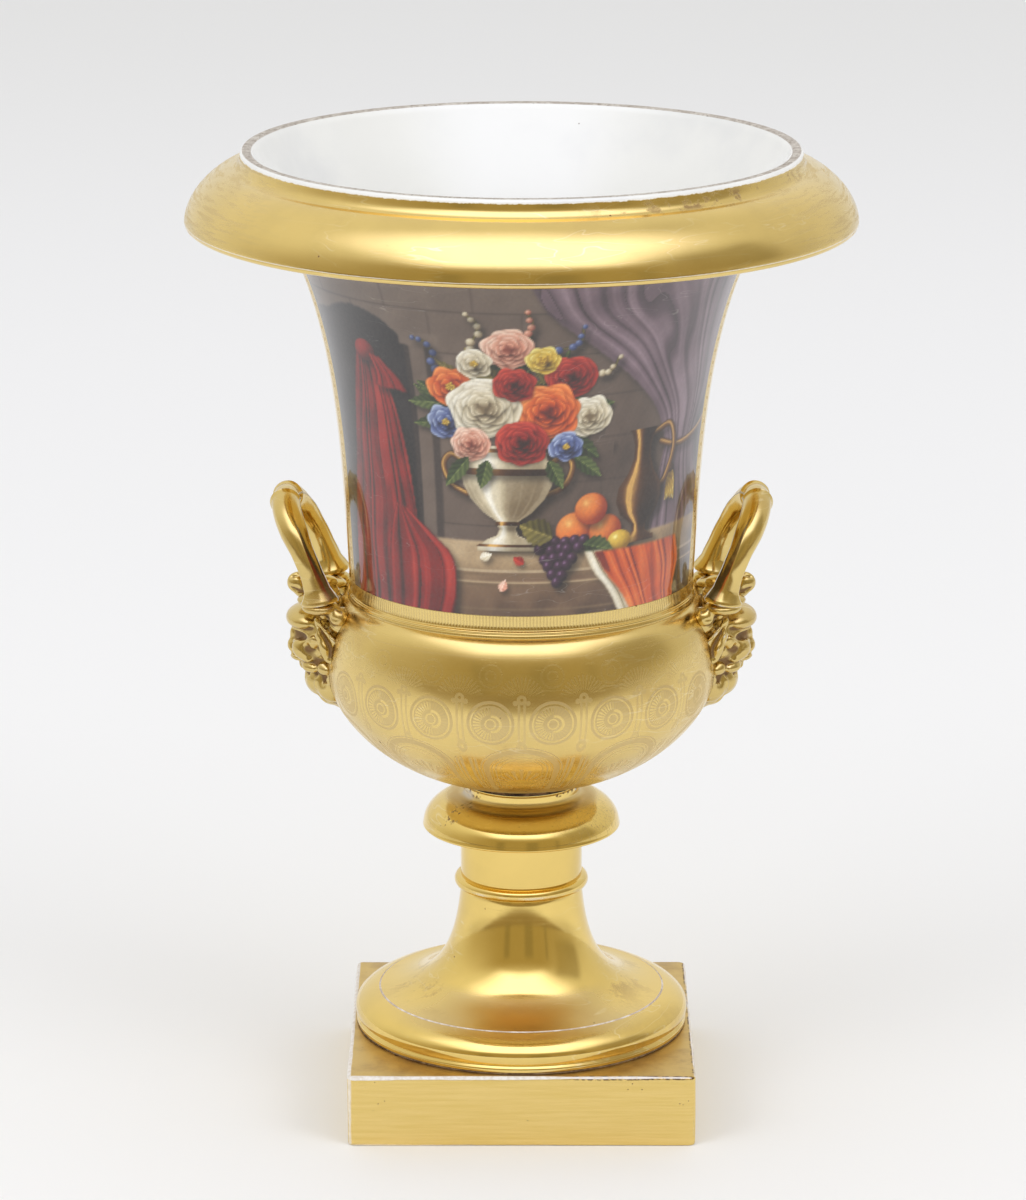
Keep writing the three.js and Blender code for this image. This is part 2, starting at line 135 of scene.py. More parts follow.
class StudioSettings(bpy.types.PropertyGroup):
    """Camera"""

    lens: FloatProperty(name="Lens", description="Focal length in millimetres", default=150.2)
    distance: length_of("Distance", "Camera to the vase's axis", 2.125)
    height: length_of("Height", "Camera above the ground", 0.806)
    offset: length_of("Offset", "Camera to the left of the axis", 0.0037)
    pitch: FloatProperty(
        name="Pitch", description="Camera tilt below level", default=math.radians(15.25), subtype="ANGLE"
    )


# Shader maths


class Value:
    """A number that varies over a surface. An expression on it adds Math nodes."""

    def __init__(self, shader, socket):
        self.shader = shader
        self.socket = socket

    def math(self, operation, *others):
        inputs = dict(enumerate((self,) + others))
        return self.shader.node("ShaderNodeMath", {"operation": operation}, inputs)

    def __add__(self, other):
        return self.math("ADD", other)

    __radd__ = __add__

    def __sub__(self, other):
        return self.math("SUBTRACT", other)

    def __rsub__(self, other):
        return self.shader.node("ShaderNodeMath", {"operation": "SUBTRACT"}, {0: other, 1: self})

    def __mul__(self, other):
        return self.math("MULTIPLY", other)

    __rmul__ = __mul__

    def __truediv__(self, other):
        return self.math("DIVIDE", other)

    def __neg__(self):
        return self.math("MULTIPLY", -1.0)

    def __abs__(self):
        return self.math("ABSOLUTE")

    def low(self, other):
        return self.math("MINIMUM", other)

    def high(self, other):
        return self.math("MAXIMUM", other)

    def root(self):
        return self.math("SQRT")

    def cell(self):
        """Place inside its unit cell, from -0.5 to 0.5."""
        return self.math("FRACT") - 0.5

    def rise(self, start, end):
        """Smooth step from 0 at start to 1 at end."""
        settings = {"interpolation_type": "SMOOTHSTEP"}
        inputs = {"Value": self, "From Min": start, "From Max": end}
        return self.shader.node("ShaderNodeMapRange", settings, inputs)

    def under(self, limit, soft=0.1):
        """1 below the limit, with a soft edge."""
        return 1.0 - self.rise(limit - soft, limit + soft)

    def angle(self, other):
        """Angle whose tangent is this value over the other."""
        return self.math("ARCTAN2", other)

    def within(self, low, high, soft):
        """1 between low and high, with soft edges."""
        return self.rise(low - soft, low + soft) * (1.0 - self.rise(high - soft, high + soft))


def span(*parts):
    """Length of a vector, from values along its axes."""
    total = parts[0] * parts[0]
    for part in parts[1:]:
        total = total + part * part
    return total.root()


def spokes(rise, across, count, wide, soft=0.1):
    """1 on rays from a point, each a share of its sector wide."""
    return abs((rise.angle(across) * (count / TURN)).cell()).under(wide, soft)


class Nodes:
    """A node tree, with nodes added by kind."""

    def __init__(self, tree):
        self.tree = tree

    def node(self, kind, settings=None, inputs=None):
        """Adds a node: its settings first, then its sockets' values or links. Returns its first output."""
        made = self.tree.nodes.new(kind)
        for key, setting in (settings or {}).items():
            setattr(made, key, setting)
        for key, given in (inputs or {}).items():
            self.feed(made.inputs[key], given)
        return Output(self, made)

    def feed(self, socket, given):
        if isinstance(given, Value):
            self.tree.links.new(given.socket, socket)
        elif socket.type == "RGBA" and len(given) == 3:
            socket.default_value = (*given, 1.0)
        else:
            socket.default_value = given

    def mix(self, factor, first, second):
        made = self.tree.nodes.new("ShaderNodeMix")
        made.data_type = "RGBA"
        self.feed(made.inputs["Factor"], factor)
        self.feed(made.inputs[6], first)
        self.feed(made.inputs[7], second)
        return Value(self, made.outputs[2])


class Shader(Nodes):
    """A node material with one Principled shader, whose patterns follow the object's coordinates."""

    def __init__(self, name, **constants):
        self.material = bpy.data.materials.new(name)
        self.material.use_nodes = True
        super().__init__(self.material.node_tree)
        self.surface = self.tree.nodes["Principled BSDF"]
        self.place = self.node("ShaderNodeTexCoord").shader_output("Object")
        self.set(**constants)

    def set(self, **given):
        """Sets or links the surface's sockets, named in small letters."""
        for name, value in given.items():
            self.feed(self.surface.inputs[name.replace("_", " ").title().replace("Ior", "IOR")], value)

    def axes(self):
        split = self.node("ShaderNodeSeparateXYZ", None, {0: self.place})
        return [split.shader_output(axis) for axis in "XYZ"]

    def noise(self, scale, detail=3.0, roughness=0.5, place=None, distortion=0.0):
        inputs = {
            "Vector": self.place if place is None else place,
            "Scale": scale,
            "Detail": detail,
            "Roughness": roughness,
            "Distortion": distortion,
        }
        return self.node("ShaderNodeTexNoise", None, inputs)

    def dots(self, scale):
        """Distance to the nearest of many scattered points, in cells."""
        return self.node("ShaderNodeTexVoronoi", None, {"Vector": self.place, "Scale": scale})

    def stretch(self, x, y, z):
        """Object coordinates drawn out by a factor along each axis."""
        return self.node("ShaderNodeMapping", None, {"Vector": self.place, "Scale": (x, y, z)})

    def attribute(self, name, part="Fac"):
        return self.node("ShaderNodeAttribute", {"attribute_name": name}).shader_output(part)

    def bump(self, height, distance, strength=1.0):
        """Bump from a height of 0 to 1, with its full depth in metres."""
        inputs = {"Height": height, "Distance": distance, "Strength": strength}
        self.set(normal=self.node("ShaderNodeBump", None, inputs))


class Output(Value):
    """A node's first output, with its others by name."""

    def __init__(self, shader, node):
        super().__init__(shader, node.outputs[0])
        self.made = node

    def shader_output(self, name):
        return Value(self.shader, self.made.outputs[name])


# Modelling


class Outline:
    """A turned profile of radius and height in millimetres, with marks where each finish begins."""

    def __init__(self, radius, height):
        self.points = [(radius, height)]
        self.marks = []

    def line(self, *points):
        self.points.extend(points)

    def curve(self, first, second, end, steps):
        corners = [Vector(corner) for corner in (self.points[-1], first, second, end)]
        for step in range(1, steps + 1):
            self.points.append(tuple(cubic(corners, step / steps)))

    def arc(self, centre, radius, start, end, steps):
        """Arc round centre, with angles in degrees from outwards, anticlockwise."""
        for step in range(steps + 1):
            angle = math.radians(start + (end - start) * step / steps)
            self.points.append((centre[0] + radius * math.cos(angle), centre[1] + radius * math.sin(angle)))

    def runs(self):
        """Length along the profile at each point."""
        steps = np.hypot(*np.diff(np.array(self.points), axis=0).T)
        return np.concatenate(([0.0], np.cumsum(steps)))

    def mark(self, finish):
        self.marks.append((self.runs()[-1], finish))


def cubic(corners, t):
    a, b, c, d = corners
    return a * (1 - t) ** 3 + b * (3 * t * (1 - t) ** 2) + c * (3 * t * t * (1 - t)) + d * t**3


def begin(name, add, **options):
    """Adds one primitive with everything else deselected."""
    if bpy.context.mode != "OBJECT":
        bpy.ops.object.mode_set(mode="OBJECT")
    bpy.ops.object.select_all(action="DESELECT")
    add(**options)
    piece = bpy.context.object
    piece.name = piece.data.name = name
    return piece


def pick(*pieces):
    """Selects these pieces alone and makes the first one active."""
    if bpy.context.mode != "OBJECT":
        bpy.ops.object.mode_set(mode="OBJECT")
    bpy.ops.object.select_all(action="DESELECT")
    for piece in pieces:
        piece.select_set(True)
    bpy.context.view_layer.objects.active = pieces[0]


def edit_all(piece):
    pick(piece)
    bpy.ops.object.mode_set(mode="EDIT")
    bpy.ops.mesh.select_all(action="SELECT")


def turn(name, outline, segments):
    """Draws the outline with one vertex and spins it round the vertical axis."""
    points = [Vector((r * MM, 0, z * MM)) for r, z in outline.points]
    piece = begin(name, bpy.ops.mesh.primitive_plane_add, size=MM)
    edit_all(piece)
    bpy.ops.mesh.merge(type="CENTER")
    bpy.ops.transform.translate(value=points[0])
    for here, there in zip(points, points[1:]):
        bpy.ops.mesh.extrude_vertices_move(TRANSFORM_OT_translate={"value": there - here})
    bpy.ops.mesh.select_all(action="SELECT")
    if points[0].x > 0 and points[-1].x > 0:
        bpy.ops.mesh.edge_face_add()
        bpy.ops.mesh.delete(type="ONLY_FACE")
        bpy.ops.mesh.select_all(action="SELECT")
    bpy.ops.mesh.spin(steps=segments, angle=TURN, center=(0, 0, 0), axis=(0, 0, 1))
    finish_mesh(piece)
    mark_runs(piece, outline)
    return piece


def finish_mesh(piece, merge=0.00001, sharp=38):
    edit_all(piece)
    bpy.ops.mesh.remove_doubles(threshold=merge)
    bpy.ops.mesh.normals_make_consistent(inside=False)
    bpy.ops.object.mode_set(mode="OBJECT")
    bpy.ops.object.shade_smooth_by_angle(angle=math.radians(sharp))


def read(items, name, width, kind=float):
    """One row of numbers for each vertex, edge or value."""
    found = np.empty(len(items) * width, dtype=kind)
    items.foreach_get(name, found)
    return found.reshape(-1, width)


def places(piece):
    return read(piece.data.vertices, "co", 3)


def normals_of(piece):
    return read(piece.data.vertices, "normal", 3)


def put(piece, spots):
    piece.data.vertices.foreach_set("co", np.ascontiguousarray(spots, dtype=np.float32).ravel())
    piece.data.update()


def store(piece, name, numbers):
    """Writes one number a vertex as an attribute."""
    made = piece.data.attributes.new(name, "FLOAT", "POINT")
    made.data.foreach_set("value", np.ascontiguousarray(numbers, dtype=np.float32))


def mark_runs(piece, outline):
    """Gives each vertex its length along the profile, in metres."""
    spots = places(piece) / MM
    flat = np.stack([np.hypot(spots[:, 0], spots[:, 1]), spots[:, 2]], axis=1)
    profile = np.array(outline.points)
    runs = outline.runs()
    found = np.empty(len(flat))
    for start in range(0, len(flat), 4096):
        some = flat[start : start + 4096]
        gaps = ((some[:, None, :] - profile[None, :, :]) ** 2).sum(axis=2)
        found[start : start + 4096] = runs[gaps.argmin(axis=1)]
    store(piece, "run", found * MM)


def finish_by_marks(piece, outline, finishes):
    """Gives each face the finish of its stretch of the profile. finishes maps marks' words to materials."""
    words = sorted(finishes)
    for word in words:
        piece.data.materials.append(finishes[word])
    runs = read(piece.data.attributes["run"].data, "value", 1)
    starts = np.array([run for run, _ in outline.marks]) * MM
    slots = [words.index(word) for _, word in outline.marks]
    for face in piece.data.polygons:
        corners = runs[list(face.vertices)]
        middle = (corners.min() + corners.max()) / 2
        face.material_index = slots[max(0, int(np.searchsorted(starts, middle, side="right")) - 1)]


class Neighbours:
    """Averages numbers over each vertex's neighbours."""

    def __init__(self, piece):
        ends = read(piece.data.edges, "vertices", 2, np.int64)
        order = np.concatenate((ends, ends[:, ::-1]))
        self.here, self.there = order[:, 0], order[:, 1]
        self.total = len(piece.data.vertices)
        self.count = np.maximum(np.bincount(self.here, minlength=self.total), 1)

    def mean(self, numbers):
        if numbers.ndim == 1:
            return np.bincount(self.here, weights=numbers[self.there], minlength=self.total) / self.count
        return np.stack([self.mean(column) for column in numbers.T], axis=1)

    def smooth(self, numbers, rounds):
        for _ in range(rounds):
            numbers = (numbers + self.mean(numbers)) / 2
        return numbers


def mark_edges(piece, reach=8, name="edge"):
    """Stores how far each vertex stands out from the skin round it: 0 in hollows to 1 on ridges."""
    spots = places(piece)
    near = Neighbours(piece)
    height = ((spots - near.smooth(spots, reach)) * normals_of(piece)).sum(axis=1)
    limit = np.percentile(np.abs(height), 97)
    store(piece, name, 0.5 + 0.5 * np.clip(height / limit, -1, 1))


def loft(name, rings, around=False):
    """Skins rings of as many points each, in millimetres. around joins the last ring to the first."""
    piece = begin(name, bpy.ops.mesh.primitive_plane_add, size=MM)
    mesh = bmesh.new()
    rows = [[mesh.verts.new(Vector(point) * MM) for point in ring] for ring in rings]
    for low, high in zip(rows, rows[1:] + rows[:1] if around else rows[1:]):
        for here in range(len(low)):
            there = (here + 1) % len(low)
            mesh.faces.new((low[here], low[there], high[there], high[here]))
    if not around:
        mesh.faces.new(rows[0][::-1])
        mesh.faces.new(rows[-1])
    mesh.to_mesh(piece.data)
    mesh.free()
    return piece


def lumps(name, balls, detail=3):
    """One mesh of overlapping ellipsoids, each a centre, three radii and a lean in degrees."""
    piece = begin(name, bpy.ops.mesh.primitive_plane_add, size=MM)
    mesh = bmesh.new()
    for centre, radii, lean in balls:
        turned = Matrix.Rotation(math.radians(lean), 4, "Y")
        sized = Matrix.Diagonal((*(Vector(radii) * MM), 1))
        matrix = Matrix.Translation(Vector(centre) * MM) @ turned @ sized
        bmesh.ops.create_icosphere(mesh, subdivisions=detail, radius=1, matrix=matrix)
    mesh.to_mesh(piece.data)
    mesh.free()
    return piece


def fuse(piece, voxel):
    """Melts overlapping shells into one closed skin."""
    pick(piece)
    piece.data.remesh_voxel_size = voxel * MM
    bpy.ops.object.voxel_remesh()


def bell(gap, width):
    """1 where the gap is nothing, falling softly to nothing past its width."""
    return np.exp(-((gap / width) ** 2))


def gap_to(spots, route):
    """Distance from each point to a polyline."""
    best = np.full(len(spots), np.inf)
    route = np.asarray(route, dtype=float)
    for start, end in zip(route, route[1:]):
        along = end - start
        share = np.clip(((spots - start) @ along) / max(along @ along, 1e-9), 0, 1)
        best = np.minimum(best, np.linalg.norm(spots - start - share[:, None] * along, axis=1))
    return best


def smooth_route(points, steps=6):
    """A rounded route through the points."""
    points = [Vector(point) for point in points]
    points = [points[0] * 2 - points[1], *points, points[-1] * 2 - points[-2]]
    route = []
    for a, b, c, d in zip(points, points[1:], points[2:], points[3:]):
        corners = (b, b + (c - a) / 6, c - (d - b) / 6, c)
        route.extend(cubic(corners, step / steps) for step in range(steps))
    return np.array([*route, points[-2]])


def mirrored(piece, name):
    """The same piece on the other side of the vase."""
    pick(piece)
    bpy.ops.object.duplicate()
    twin = bpy.context.object
    twin.name = twin.data.name = name
    put(twin, places(twin) * (-1, 1, 1))
    edit_all(twin)
    bpy.ops.mesh.flip_normals()
    bpy.ops.object.mode_set(mode="OBJECT")
    return twin


def settle(piece, slot, *nodes):
    """Rides the finished piece on the body and hides the nodes that it stands for. slot is not used."""
    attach(piece, BODY)
    if nodes:
        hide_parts(*nodes)
    return piece


# Gold


DULL_GOLD = (0.62, 0.43, 0.17)
SCRATCHED_GOLD = (0.95, 0.84, 0.55)
# Dark brown of dirt, also used for the painted shade in the masks' hollows
DIRT_AND_SHADE = (0.15, 0.06, 0.016)
PORCELAIN = (0.8, 0.78, 0.74)
MATT_ROUGHNESS = 0.44


def gilding(
    gold, roughness=0.08, wear=None, matt=None, stain_and_shade=None, relief=None, tarnish=0.35, body=False, shade=1.0
):
    """Turns a shader into burnished gold. wear shows the white porcelain, matt the unburnished gold and
    the stain mark the dirt, and on the masks also the painted shade in their hollows, each 0 to 1. relief is
    a height, tarnish the dull patches' share, shade a darker tone of painted shade."""
    finishes = bpy.context.scene.vase_finishes
    clean = [c * shade for c in (finishes.body_gold if body else finishes.gold)]
    cloud = gold.noise(22.0, 4.0, 0.6)
    patches = gold.noise(12.0, 5.0, 0.68)
    fine = gold.noise(900.0, 2.0, 0.6)
    brushed = gold.noise(48.0, 6.0, 0.8, gold.stretch(1.0, 1.0, 16.0))
    lines = gold.noise(26.0, 2.0, 0.5, gold.stretch(1.0, 1.0, 6.0), 0.4)
    scratches = (1.0 - abs(lines - 0.5).rise(0.0, 0.012)) * patches.rise(0.46, 0.56)
    specks = (1.0 - gold.dots(120.0).rise(0.03, 0.08)) * cloud.rise(0.54, 0.6)
    dull = patches.rise(0.5, 0.72) * tarnish
    tone = gold.mix(cloud.rise(0.35, 0.7), tuple(clean), tuple(c * 0.92 for c in clean))
    tone = gold.mix(dull, tone, DULL_GOLD)
    rough = roughness + brushed.rise(0.52, 0.72) * 0.1 + dull * 0.25 + fine * 0.02
    if matt is not None:
        tone = gold.mix(matt, tone, tuple(finishes.matt_gold))
        rough = rough + matt * (MATT_ROUGHNESS - roughness)
    tone = gold.mix(scratches * 0.35, tone, SCRATCHED_GOLD)
    # This mark is dirt, and on the masks also painted shade in the hollows
    dirt = specks if stain_and_shade is None else stain_and_shade.high(specks)
    tone = gold.mix(dirt * 0.9, tone, DIRT_AND_SHADE)
    rough = rough + dirt * 0.35
    metal = 1.0 - dirt * 0.8
    if wear is not None:
        tone = gold.mix(wear, tone, PORCELAIN)
        rough = rough + wear * 0.18
        metal = metal * (1.0 - wear)
    gold.set(metallic=metal, base_color=tone, roughness=rough.low(0.9))
    height = cloud * 0.6 + brushed * 0.03 + fine * 0.015 - scratches * 0.04
    if relief is not None:
        height = height + relief
    gold.bump(height, 0.00025, 0.4)
    return gold


def white_glaze(name="white_glaze"):
    """Clear white glaze with faint grey patches of painted reflection and a few specks."""
    finishes = bpy.context.scene.vase_finishes
    glaze = Shader(name, coat_weight=0.6, coat_roughness=0.05)
    patches = glaze.noise(16.0, 4.0, 0.55).rise(0.45, 0.75)
    specks = 1.0 - glaze.dots(160.0).rise(0.03, 0.07)
    rare = glaze.noise(30.0, 1.0).rise(0.58, 0.62)
    # The grey patches are painted reflections in the glaze
    tone = glaze.mix(patches * 0.5, tuple(finishes.glaze), (0.68, 0.69, 0.7))
    tone = glaze.mix(specks * rare, tone, (0.25, 0.2, 0.16))
    glaze.set(base_color=tone, roughness=0.16 + patches * 0.12)
    glaze.bump(glaze.noise(45.0, 2.0), 0.0003, 0.2)
    return glaze


def bare_rim():
    """Unglazed porcelain, greyed by handling."""
    finishes = bpy.context.scene.vase_finishes
    rim = Shader("bare_rim")
    grime = rim.noise(260.0, 5.0, 0.7)
    tone = rim.mix(grime.rise(0.35, 0.65), tuple(finishes.biscuit), (0.62, 0.58, 0.52))
    tone = rim.mix(rim.noise(900.0, 2.0).rise(0.55, 0.7), tone, (0.2, 0.16, 0.12))
    rim.set(base_color=tone, roughness=0.7 + grime * 0.2)
    rim.bump(grime, 0.0003, 0.6)
    return rim


# Body


def neck_corners(sizes):
    """Control points of the neck's outside, radius and height."""
    foot_z = bowl_bottom + sizes.bowl_height + sizes.shoulder_height + 2
    top_z = foot_z - 2 + sizes.neck_height
    return [
        Vector((sizes.neck_radius + 1, foot_z)),
        Vector((sizes.neck_radius + 4.5, foot_z + 50)),
        Vector((sizes.neck_radius + 4.5, top_z - 46)),
        Vector((sizes.neck_top_radius, top_z)),
    ]


def hollow_corners(sizes):
    """Control points of the hollow under the lip, radius and height."""
    belly_z = bowl_bottom + sizes.bowl_height
    neck_top = belly_z + sizes.shoulder_height + sizes.neck_height
    return [
        Vector((sizes.neck_top_radius, neck_top)),
        Vector((107, neck_top + 19)),
        Vector((lip_radius - 18, belly_z + 206.5)),
        Vector((lip_radius - 1.8, mouth_z - 32.2)),
    ]


def neck_radius_at(sizes, heights):
    """Radius of the neck's outside at each height, up into the hollow."""
    points = [cubic(neck_corners(sizes), t) for t in np.linspace(0, 1, 200)]
    points += [cubic(hollow_corners(sizes), t) for t in np.linspace(0.005, 0.12, 20)]
    points = np.array(points)
    return np.interp(heights, points[:, 1], points[:, 0])


def body_outline(sizes):
    belly_z = bowl_bottom + sizes.bowl_height
    shoulder_z = belly_z + sizes.shoulder_height
    neck_top = shoulder_z + sizes.neck_height
    rim_radius = sizes.mouth_radius + sizes.rim_thickness
    bowl = sizes.bowl_radius
    neck = sizes.neck_radius
    foot = 29.9
    inside = sizes.wall
    floor_z = gasket_low
    line = Outline(BOLT_HOLE, bowl_bottom)
    line.mark("gold")
    line.line((foot - 0.7, bowl_bottom), (foot - 0.2, bowl_bottom + 0.15), (foot, bowl_bottom + 0.6))
    line.mark("frieze")
    line.curve((foot + 27.4, bowl_bottom + 5.5), (bowl, belly_z - 24), (bowl, belly_z), 40)
    line.curve((bowl, belly_z + 15), (neck + 8, shoulder_z - 3), (neck + 2.3, shoulder_z - 0.3), 26)
    # milled line, bead and hollow below the tooled band
    line.mark("milled")
    line.line((neck + 2.4, shoulder_z), (neck + 2.1, shoulder_z + 0.9))
    line.mark("gold")
    line.arc((neck + 1.5, shoulder_z + 1.9), 0.8, -60, 80, 6)
    hollow_z = shoulder_z + 2.9
    line.curve((neck + 1.1, hollow_z), (neck + 1.0, hollow_z + 0.4), (neck + 1.3, hollow_z + 0.7), 4)
    line.mark("tooled")
    band_top = shoulder_z + BAND_HEIGHT
    for height in np.linspace(shoulder_z + 3.7, band_top, 5):
        line.line((neck_radius_at(sizes, height) + 0.15, height))
    line.mark("gold")
    for height in np.linspace(band_top + 0.1, neck_top, 44):
        line.line((neck_radius_at(sizes, height), height))
    # hollow under the lip, then the drooping lip and the fillet below the rim
    line.curve(*hollow_corners(sizes)[1:], 18)
    edge_z = mouth_z - 30.2
    line.curve((lip_radius - 0.9, edge_z - 2.1), (lip_radius, edge_z - 1.3), (lip_radius, edge_z), 5)
    line.mark("lip")
    line.curve((lip_radius - 0.7, mouth_z - 19.6), (133.5, mouth_z - 9.5), (124.7, mouth_z - 7.6), 26)
    line.curve((122.8, mouth_z - 6.9), (121.4, mouth_z - 5.6), (rim_radius + 0.45, mouth_z - 1.5), 7)
    line.mark("white")
    line.line((rim_radius + 0.2, mouth_z - 0.6), (rim_radius - 0.5, mouth_z - 0.05))
    line.mark("bare")
    mouth = sizes.mouth_radius
    line.line((rim_radius - 1, mouth_z), (mouth + 0.8, mouth_z), (mouth, mouth_z - 0.5))
    line.mark("white")
    line.curve(
        (mouth - 7, mouth_z - 14),
        (sizes.neck_top_radius + 2, neck_top + 16),
        (sizes.neck_top_radius - inside, neck_top),
        16,
    )
    for height in np.linspace(neck_top - 6, shoulder_z + 2.2, 24):
        line.line((neck_radius_at(sizes, height) - inside, height))
    bowl -= inside
    line.curve((neck - inside + 5, shoulder_z - 6), (bowl, belly_z + 13), (bowl, belly_z), 12)
    line.curve((bowl, belly_z - 22), (foot + 22, floor_z + 3), (foot - inside, floor_z), 14)
    line.line((BOLT_HOLE, floor_z), (BOLT_HOLE, bowl_bottom + 1))
    return line


class VASE_OT_body(bpy.types.Operator):
    """Turns the bowl, neck and lip as one shell with its gold, frieze and glaze"""

    bl_idname = "vase.body"
    bl_label = "Body"

    def execute(self, context):
        sizes = context.scene.vase_sizes
        outline = body_outline(sizes)
        body = turn("body_shell", outline, sizes.turns)
        finishes = {
            "gold": neck_gold().material,
            "frieze": frieze_gold(outline).material,
            "milled": ticked_gold("milled_gold", 440, 0.3).material,
            "tooled": ticked_gold("tooled_gold", 330, 0.5).material,
            "lip": lip_gold(outline).material,
            "white": white_glaze().material,
            "bare": bare_rim().material,
        }
        finish_by_marks(body, outline, finishes)
        settle(body, "painted_porcelain", "vase_body")
        return {"FINISHED"}


# Painted panel


PANEL_HALF_TURN = math.radians(73)
BORDER_TURN = math.radians(7)
PANEL_CELLS = (360, 250)
PANEL_STEP = 10
PAINT_GAMMA = 2.45


def panel_spot(sizes, turn, height, proud):
    """A point on the neck, at an angle from the front and a height, standing proud by some millimetres."""
    radius = neck_radius_at(sizes, height) + proud
    return np.stack((radius * np.sin(turn), -radius * np.cos(turn), height), axis=-1)


class VASE_OT_panel(bpy.types.Operator):
    """Lays the painted panel on the neck's front as a thin closed skin of enamel"""

    bl_idname = "vase.panel"
    bl_label = "Painted panel"

    def execute(self, context):
        sizes = context.scene.vase_sizes
        shoulder_z = bowl_bottom + sizes.bowl_height + sizes.shoulder_height
        low, high = shoulder_z + BAND_HEIGHT + 0.2, shoulder_z + sizes.neck_height + 6
        columns, rows = PANEL_CELLS
        turns, heights = np.meshgrid(
            np.linspace(-PANEL_HALF_TURN, PANEL_HALF_TURN, columns + 1), np.linspace(low, high, rows + 1)
        )
        grid = bpy.ops.mesh.primitive_grid_add
        panel = begin("painted_panel", grid, x_subdivisions=columns, y_subdivisions=rows, size=MM)
        put(panel, panel_spot(sizes, turns, heights, 0.15) * MM)
        self.close(panel, panel_spot(sizes, turns, heights, -0.1) * MM)
        across = turns * (sizes.neck_radius + 4)
        seen = paint_still_life(across, heights - low)
        colours = np.full((len(panel.data.vertices), 4), 1.0)
        colours[: seen.size // 3, :3] = seen.reshape(-1, 3) ** PAINT_GAMMA
        made = panel.data.color_attributes.new("paint", "FLOAT_COLOR", "POINT")
        made.data.foreach_set("color", colours.ravel())
        panel.data.materials.append(enamel().material)
        settle(panel, "painted_porcelain")
        return {"FINISHED"}

    def close(self, panel, back):
        """Adds a coarse back and joins it to the front along their edges."""
        columns, rows = PANEL_CELLS
        mesh = bmesh.new()
        mesh.from_mesh(panel.data)
        mesh.verts.ensure_lookup_table()
        front = [mesh.verts[row * (columns + 1) : (row + 1) * (columns + 1)] for row in range(rows + 1)]
        grid = [[mesh.verts.new(spot) for spot in line[::PANEL_STEP]] for line in back[::PANEL_STEP]]
        for low, high in zip(grid, grid[1:]):
            for here in range(len(low) - 1):
                mesh.faces.new((low[here], high[here], high[here + 1], low[here + 1]))
        left, right = ([[line[end] for line in skin] for skin in (front, grid)] for end in (0, -1))
        self.wall(mesh, front[0], grid[0])
        self.wall(mesh, front[-1][::-1], grid[-1][::-1])
        self.wall(mesh, *right)
        self.wall(mesh, left[0][::-1], left[1][::-1])
        mesh.to_mesh(panel.data)
        mesh.free()
        finish_mesh(panel)

    def wall(self, mesh, line, edge):
        for step in range(len(edge) - 1):
            part = line[step * PANEL_STEP : (step + 1) * PANEL_STEP + 1]
            mesh.faces.new([*part[::-1], edge[step], edge[step + 1]])


def enamel():
    """Painted enamel under a clear glaze, with fine scratches."""
    paint = Shader("painted_enamel", roughness=0.4, coat_weight=1.0, coat_roughness=0.03, coat_ior=1.5)
    fine = paint.noise(700.0, 3.0, 0.6)
    lines = paint.noise(30.0, 2.0, 0.5, paint.stretch(1.0, 1.0, 5.0), 0.5)
    scratches = (1.0 - abs(lines - 0.5).rise(0.0, 0.006)) * paint.noise(14.0).rise(0.5, 0.6)
    tone = paint.mix(fine.rise(0.3, 0.7) * 0.12, paint.attribute("paint", "Color"), (0.1, 0.08, 0.07))
    paint.set(base_color=paint.mix(scratches * 0.15, tone, (0.7, 0.66, 0.6)))
    paint.bump(paint.noise(20.0, 2.0) * 0.8 + fine * 0.02, 0.00025, 0.25)
    return paint


def flat_route(points):
    """A rounded route through points across and up."""
    return smooth_route([(x, y, 0) for x, y in points])[:, :2]


def blur(cover, rounds):
    for _ in range(rounds):
        edged = np.pad(cover, 1, mode="edge")
        across = (edged[:, :-2] + edged[:, 1:-1] * 2 + edged[:, 2:]) / 4
        cover = (across[:-2] + across[1:-1] * 2 + across[2:]) / 4
    return cover


def tone(paint, light):
    """Colour from a paint's dark, middle and bright tones, for a light of 0 to 1."""
    light = 2 * np.clip(light, 0, 1)[..., None]
    dark, middle, bright = (np.array(colour) for colour in paint)
    return np.where(light < 1, dark + (middle - dark) * light, middle + (bright - middle) * (light - 1))


WALL = ((0.2, 0.17, 0.16), (0.4, 0.34, 0.3), (0.53, 0.47, 0.42))
SLATE = ((0.1, 0.09, 0.1), (0.22, 0.2, 0.21), (0.36, 0.33, 0.34))
MAUVE = ((0.25, 0.2, 0.23), (0.47, 0.39, 0.43), (0.64, 0.56, 0.6))
CRIMSON = ((0.24, 0.03, 0.03), (0.58, 0.1, 0.08), (0.82, 0.3, 0.22))
ORANGE = ((0.45, 0.12, 0.03), (0.83, 0.36, 0.12), (0.98, 0.62, 0.34))
CREAM = ((0.5, 0.43, 0.32), (0.85, 0.8, 0.68), (0.98, 0.96, 0.9))
BLUSH = ((0.55, 0.28, 0.22), (0.88, 0.62, 0.52), (0.98, 0.86, 0.78))
STONE = ((0.36, 0.28, 0.2), (0.7, 0.6, 0.46), (0.88, 0.8, 0.66))
FLOOR = ((0.22, 0.16, 0.12), (0.46, 0.36, 0.27), (0.6, 0.5, 0.38))
GREEN = ((0.07, 0.1, 0.05), (0.22, 0.29, 0.14), (0.48, 0.53, 0.3))
OLIVE = ((0.16, 0.14, 0.06), (0.4, 0.37, 0.17), (0.66, 0.6, 0.34))
PLUM = ((0.08, 0.04, 0.08), (0.26, 0.14, 0.24), (0.55, 0.42, 0.55))
PEACH = ((0.5, 0.14, 0.06), (0.88, 0.5, 0.22), (0.99, 0.82, 0.5))
LEMON = ((0.5, 0.36, 0.08), (0.87, 0.72, 0.26), (0.98, 0.93, 0.6))
BRONZE = ((0.12, 0.07, 0.04), (0.4, 0.26, 0.13), (0.86, 0.68, 0.38))
SKY = ((0.16, 0.2, 0.34), (0.36, 0.42, 0.62), (0.72, 0.77, 0.88))


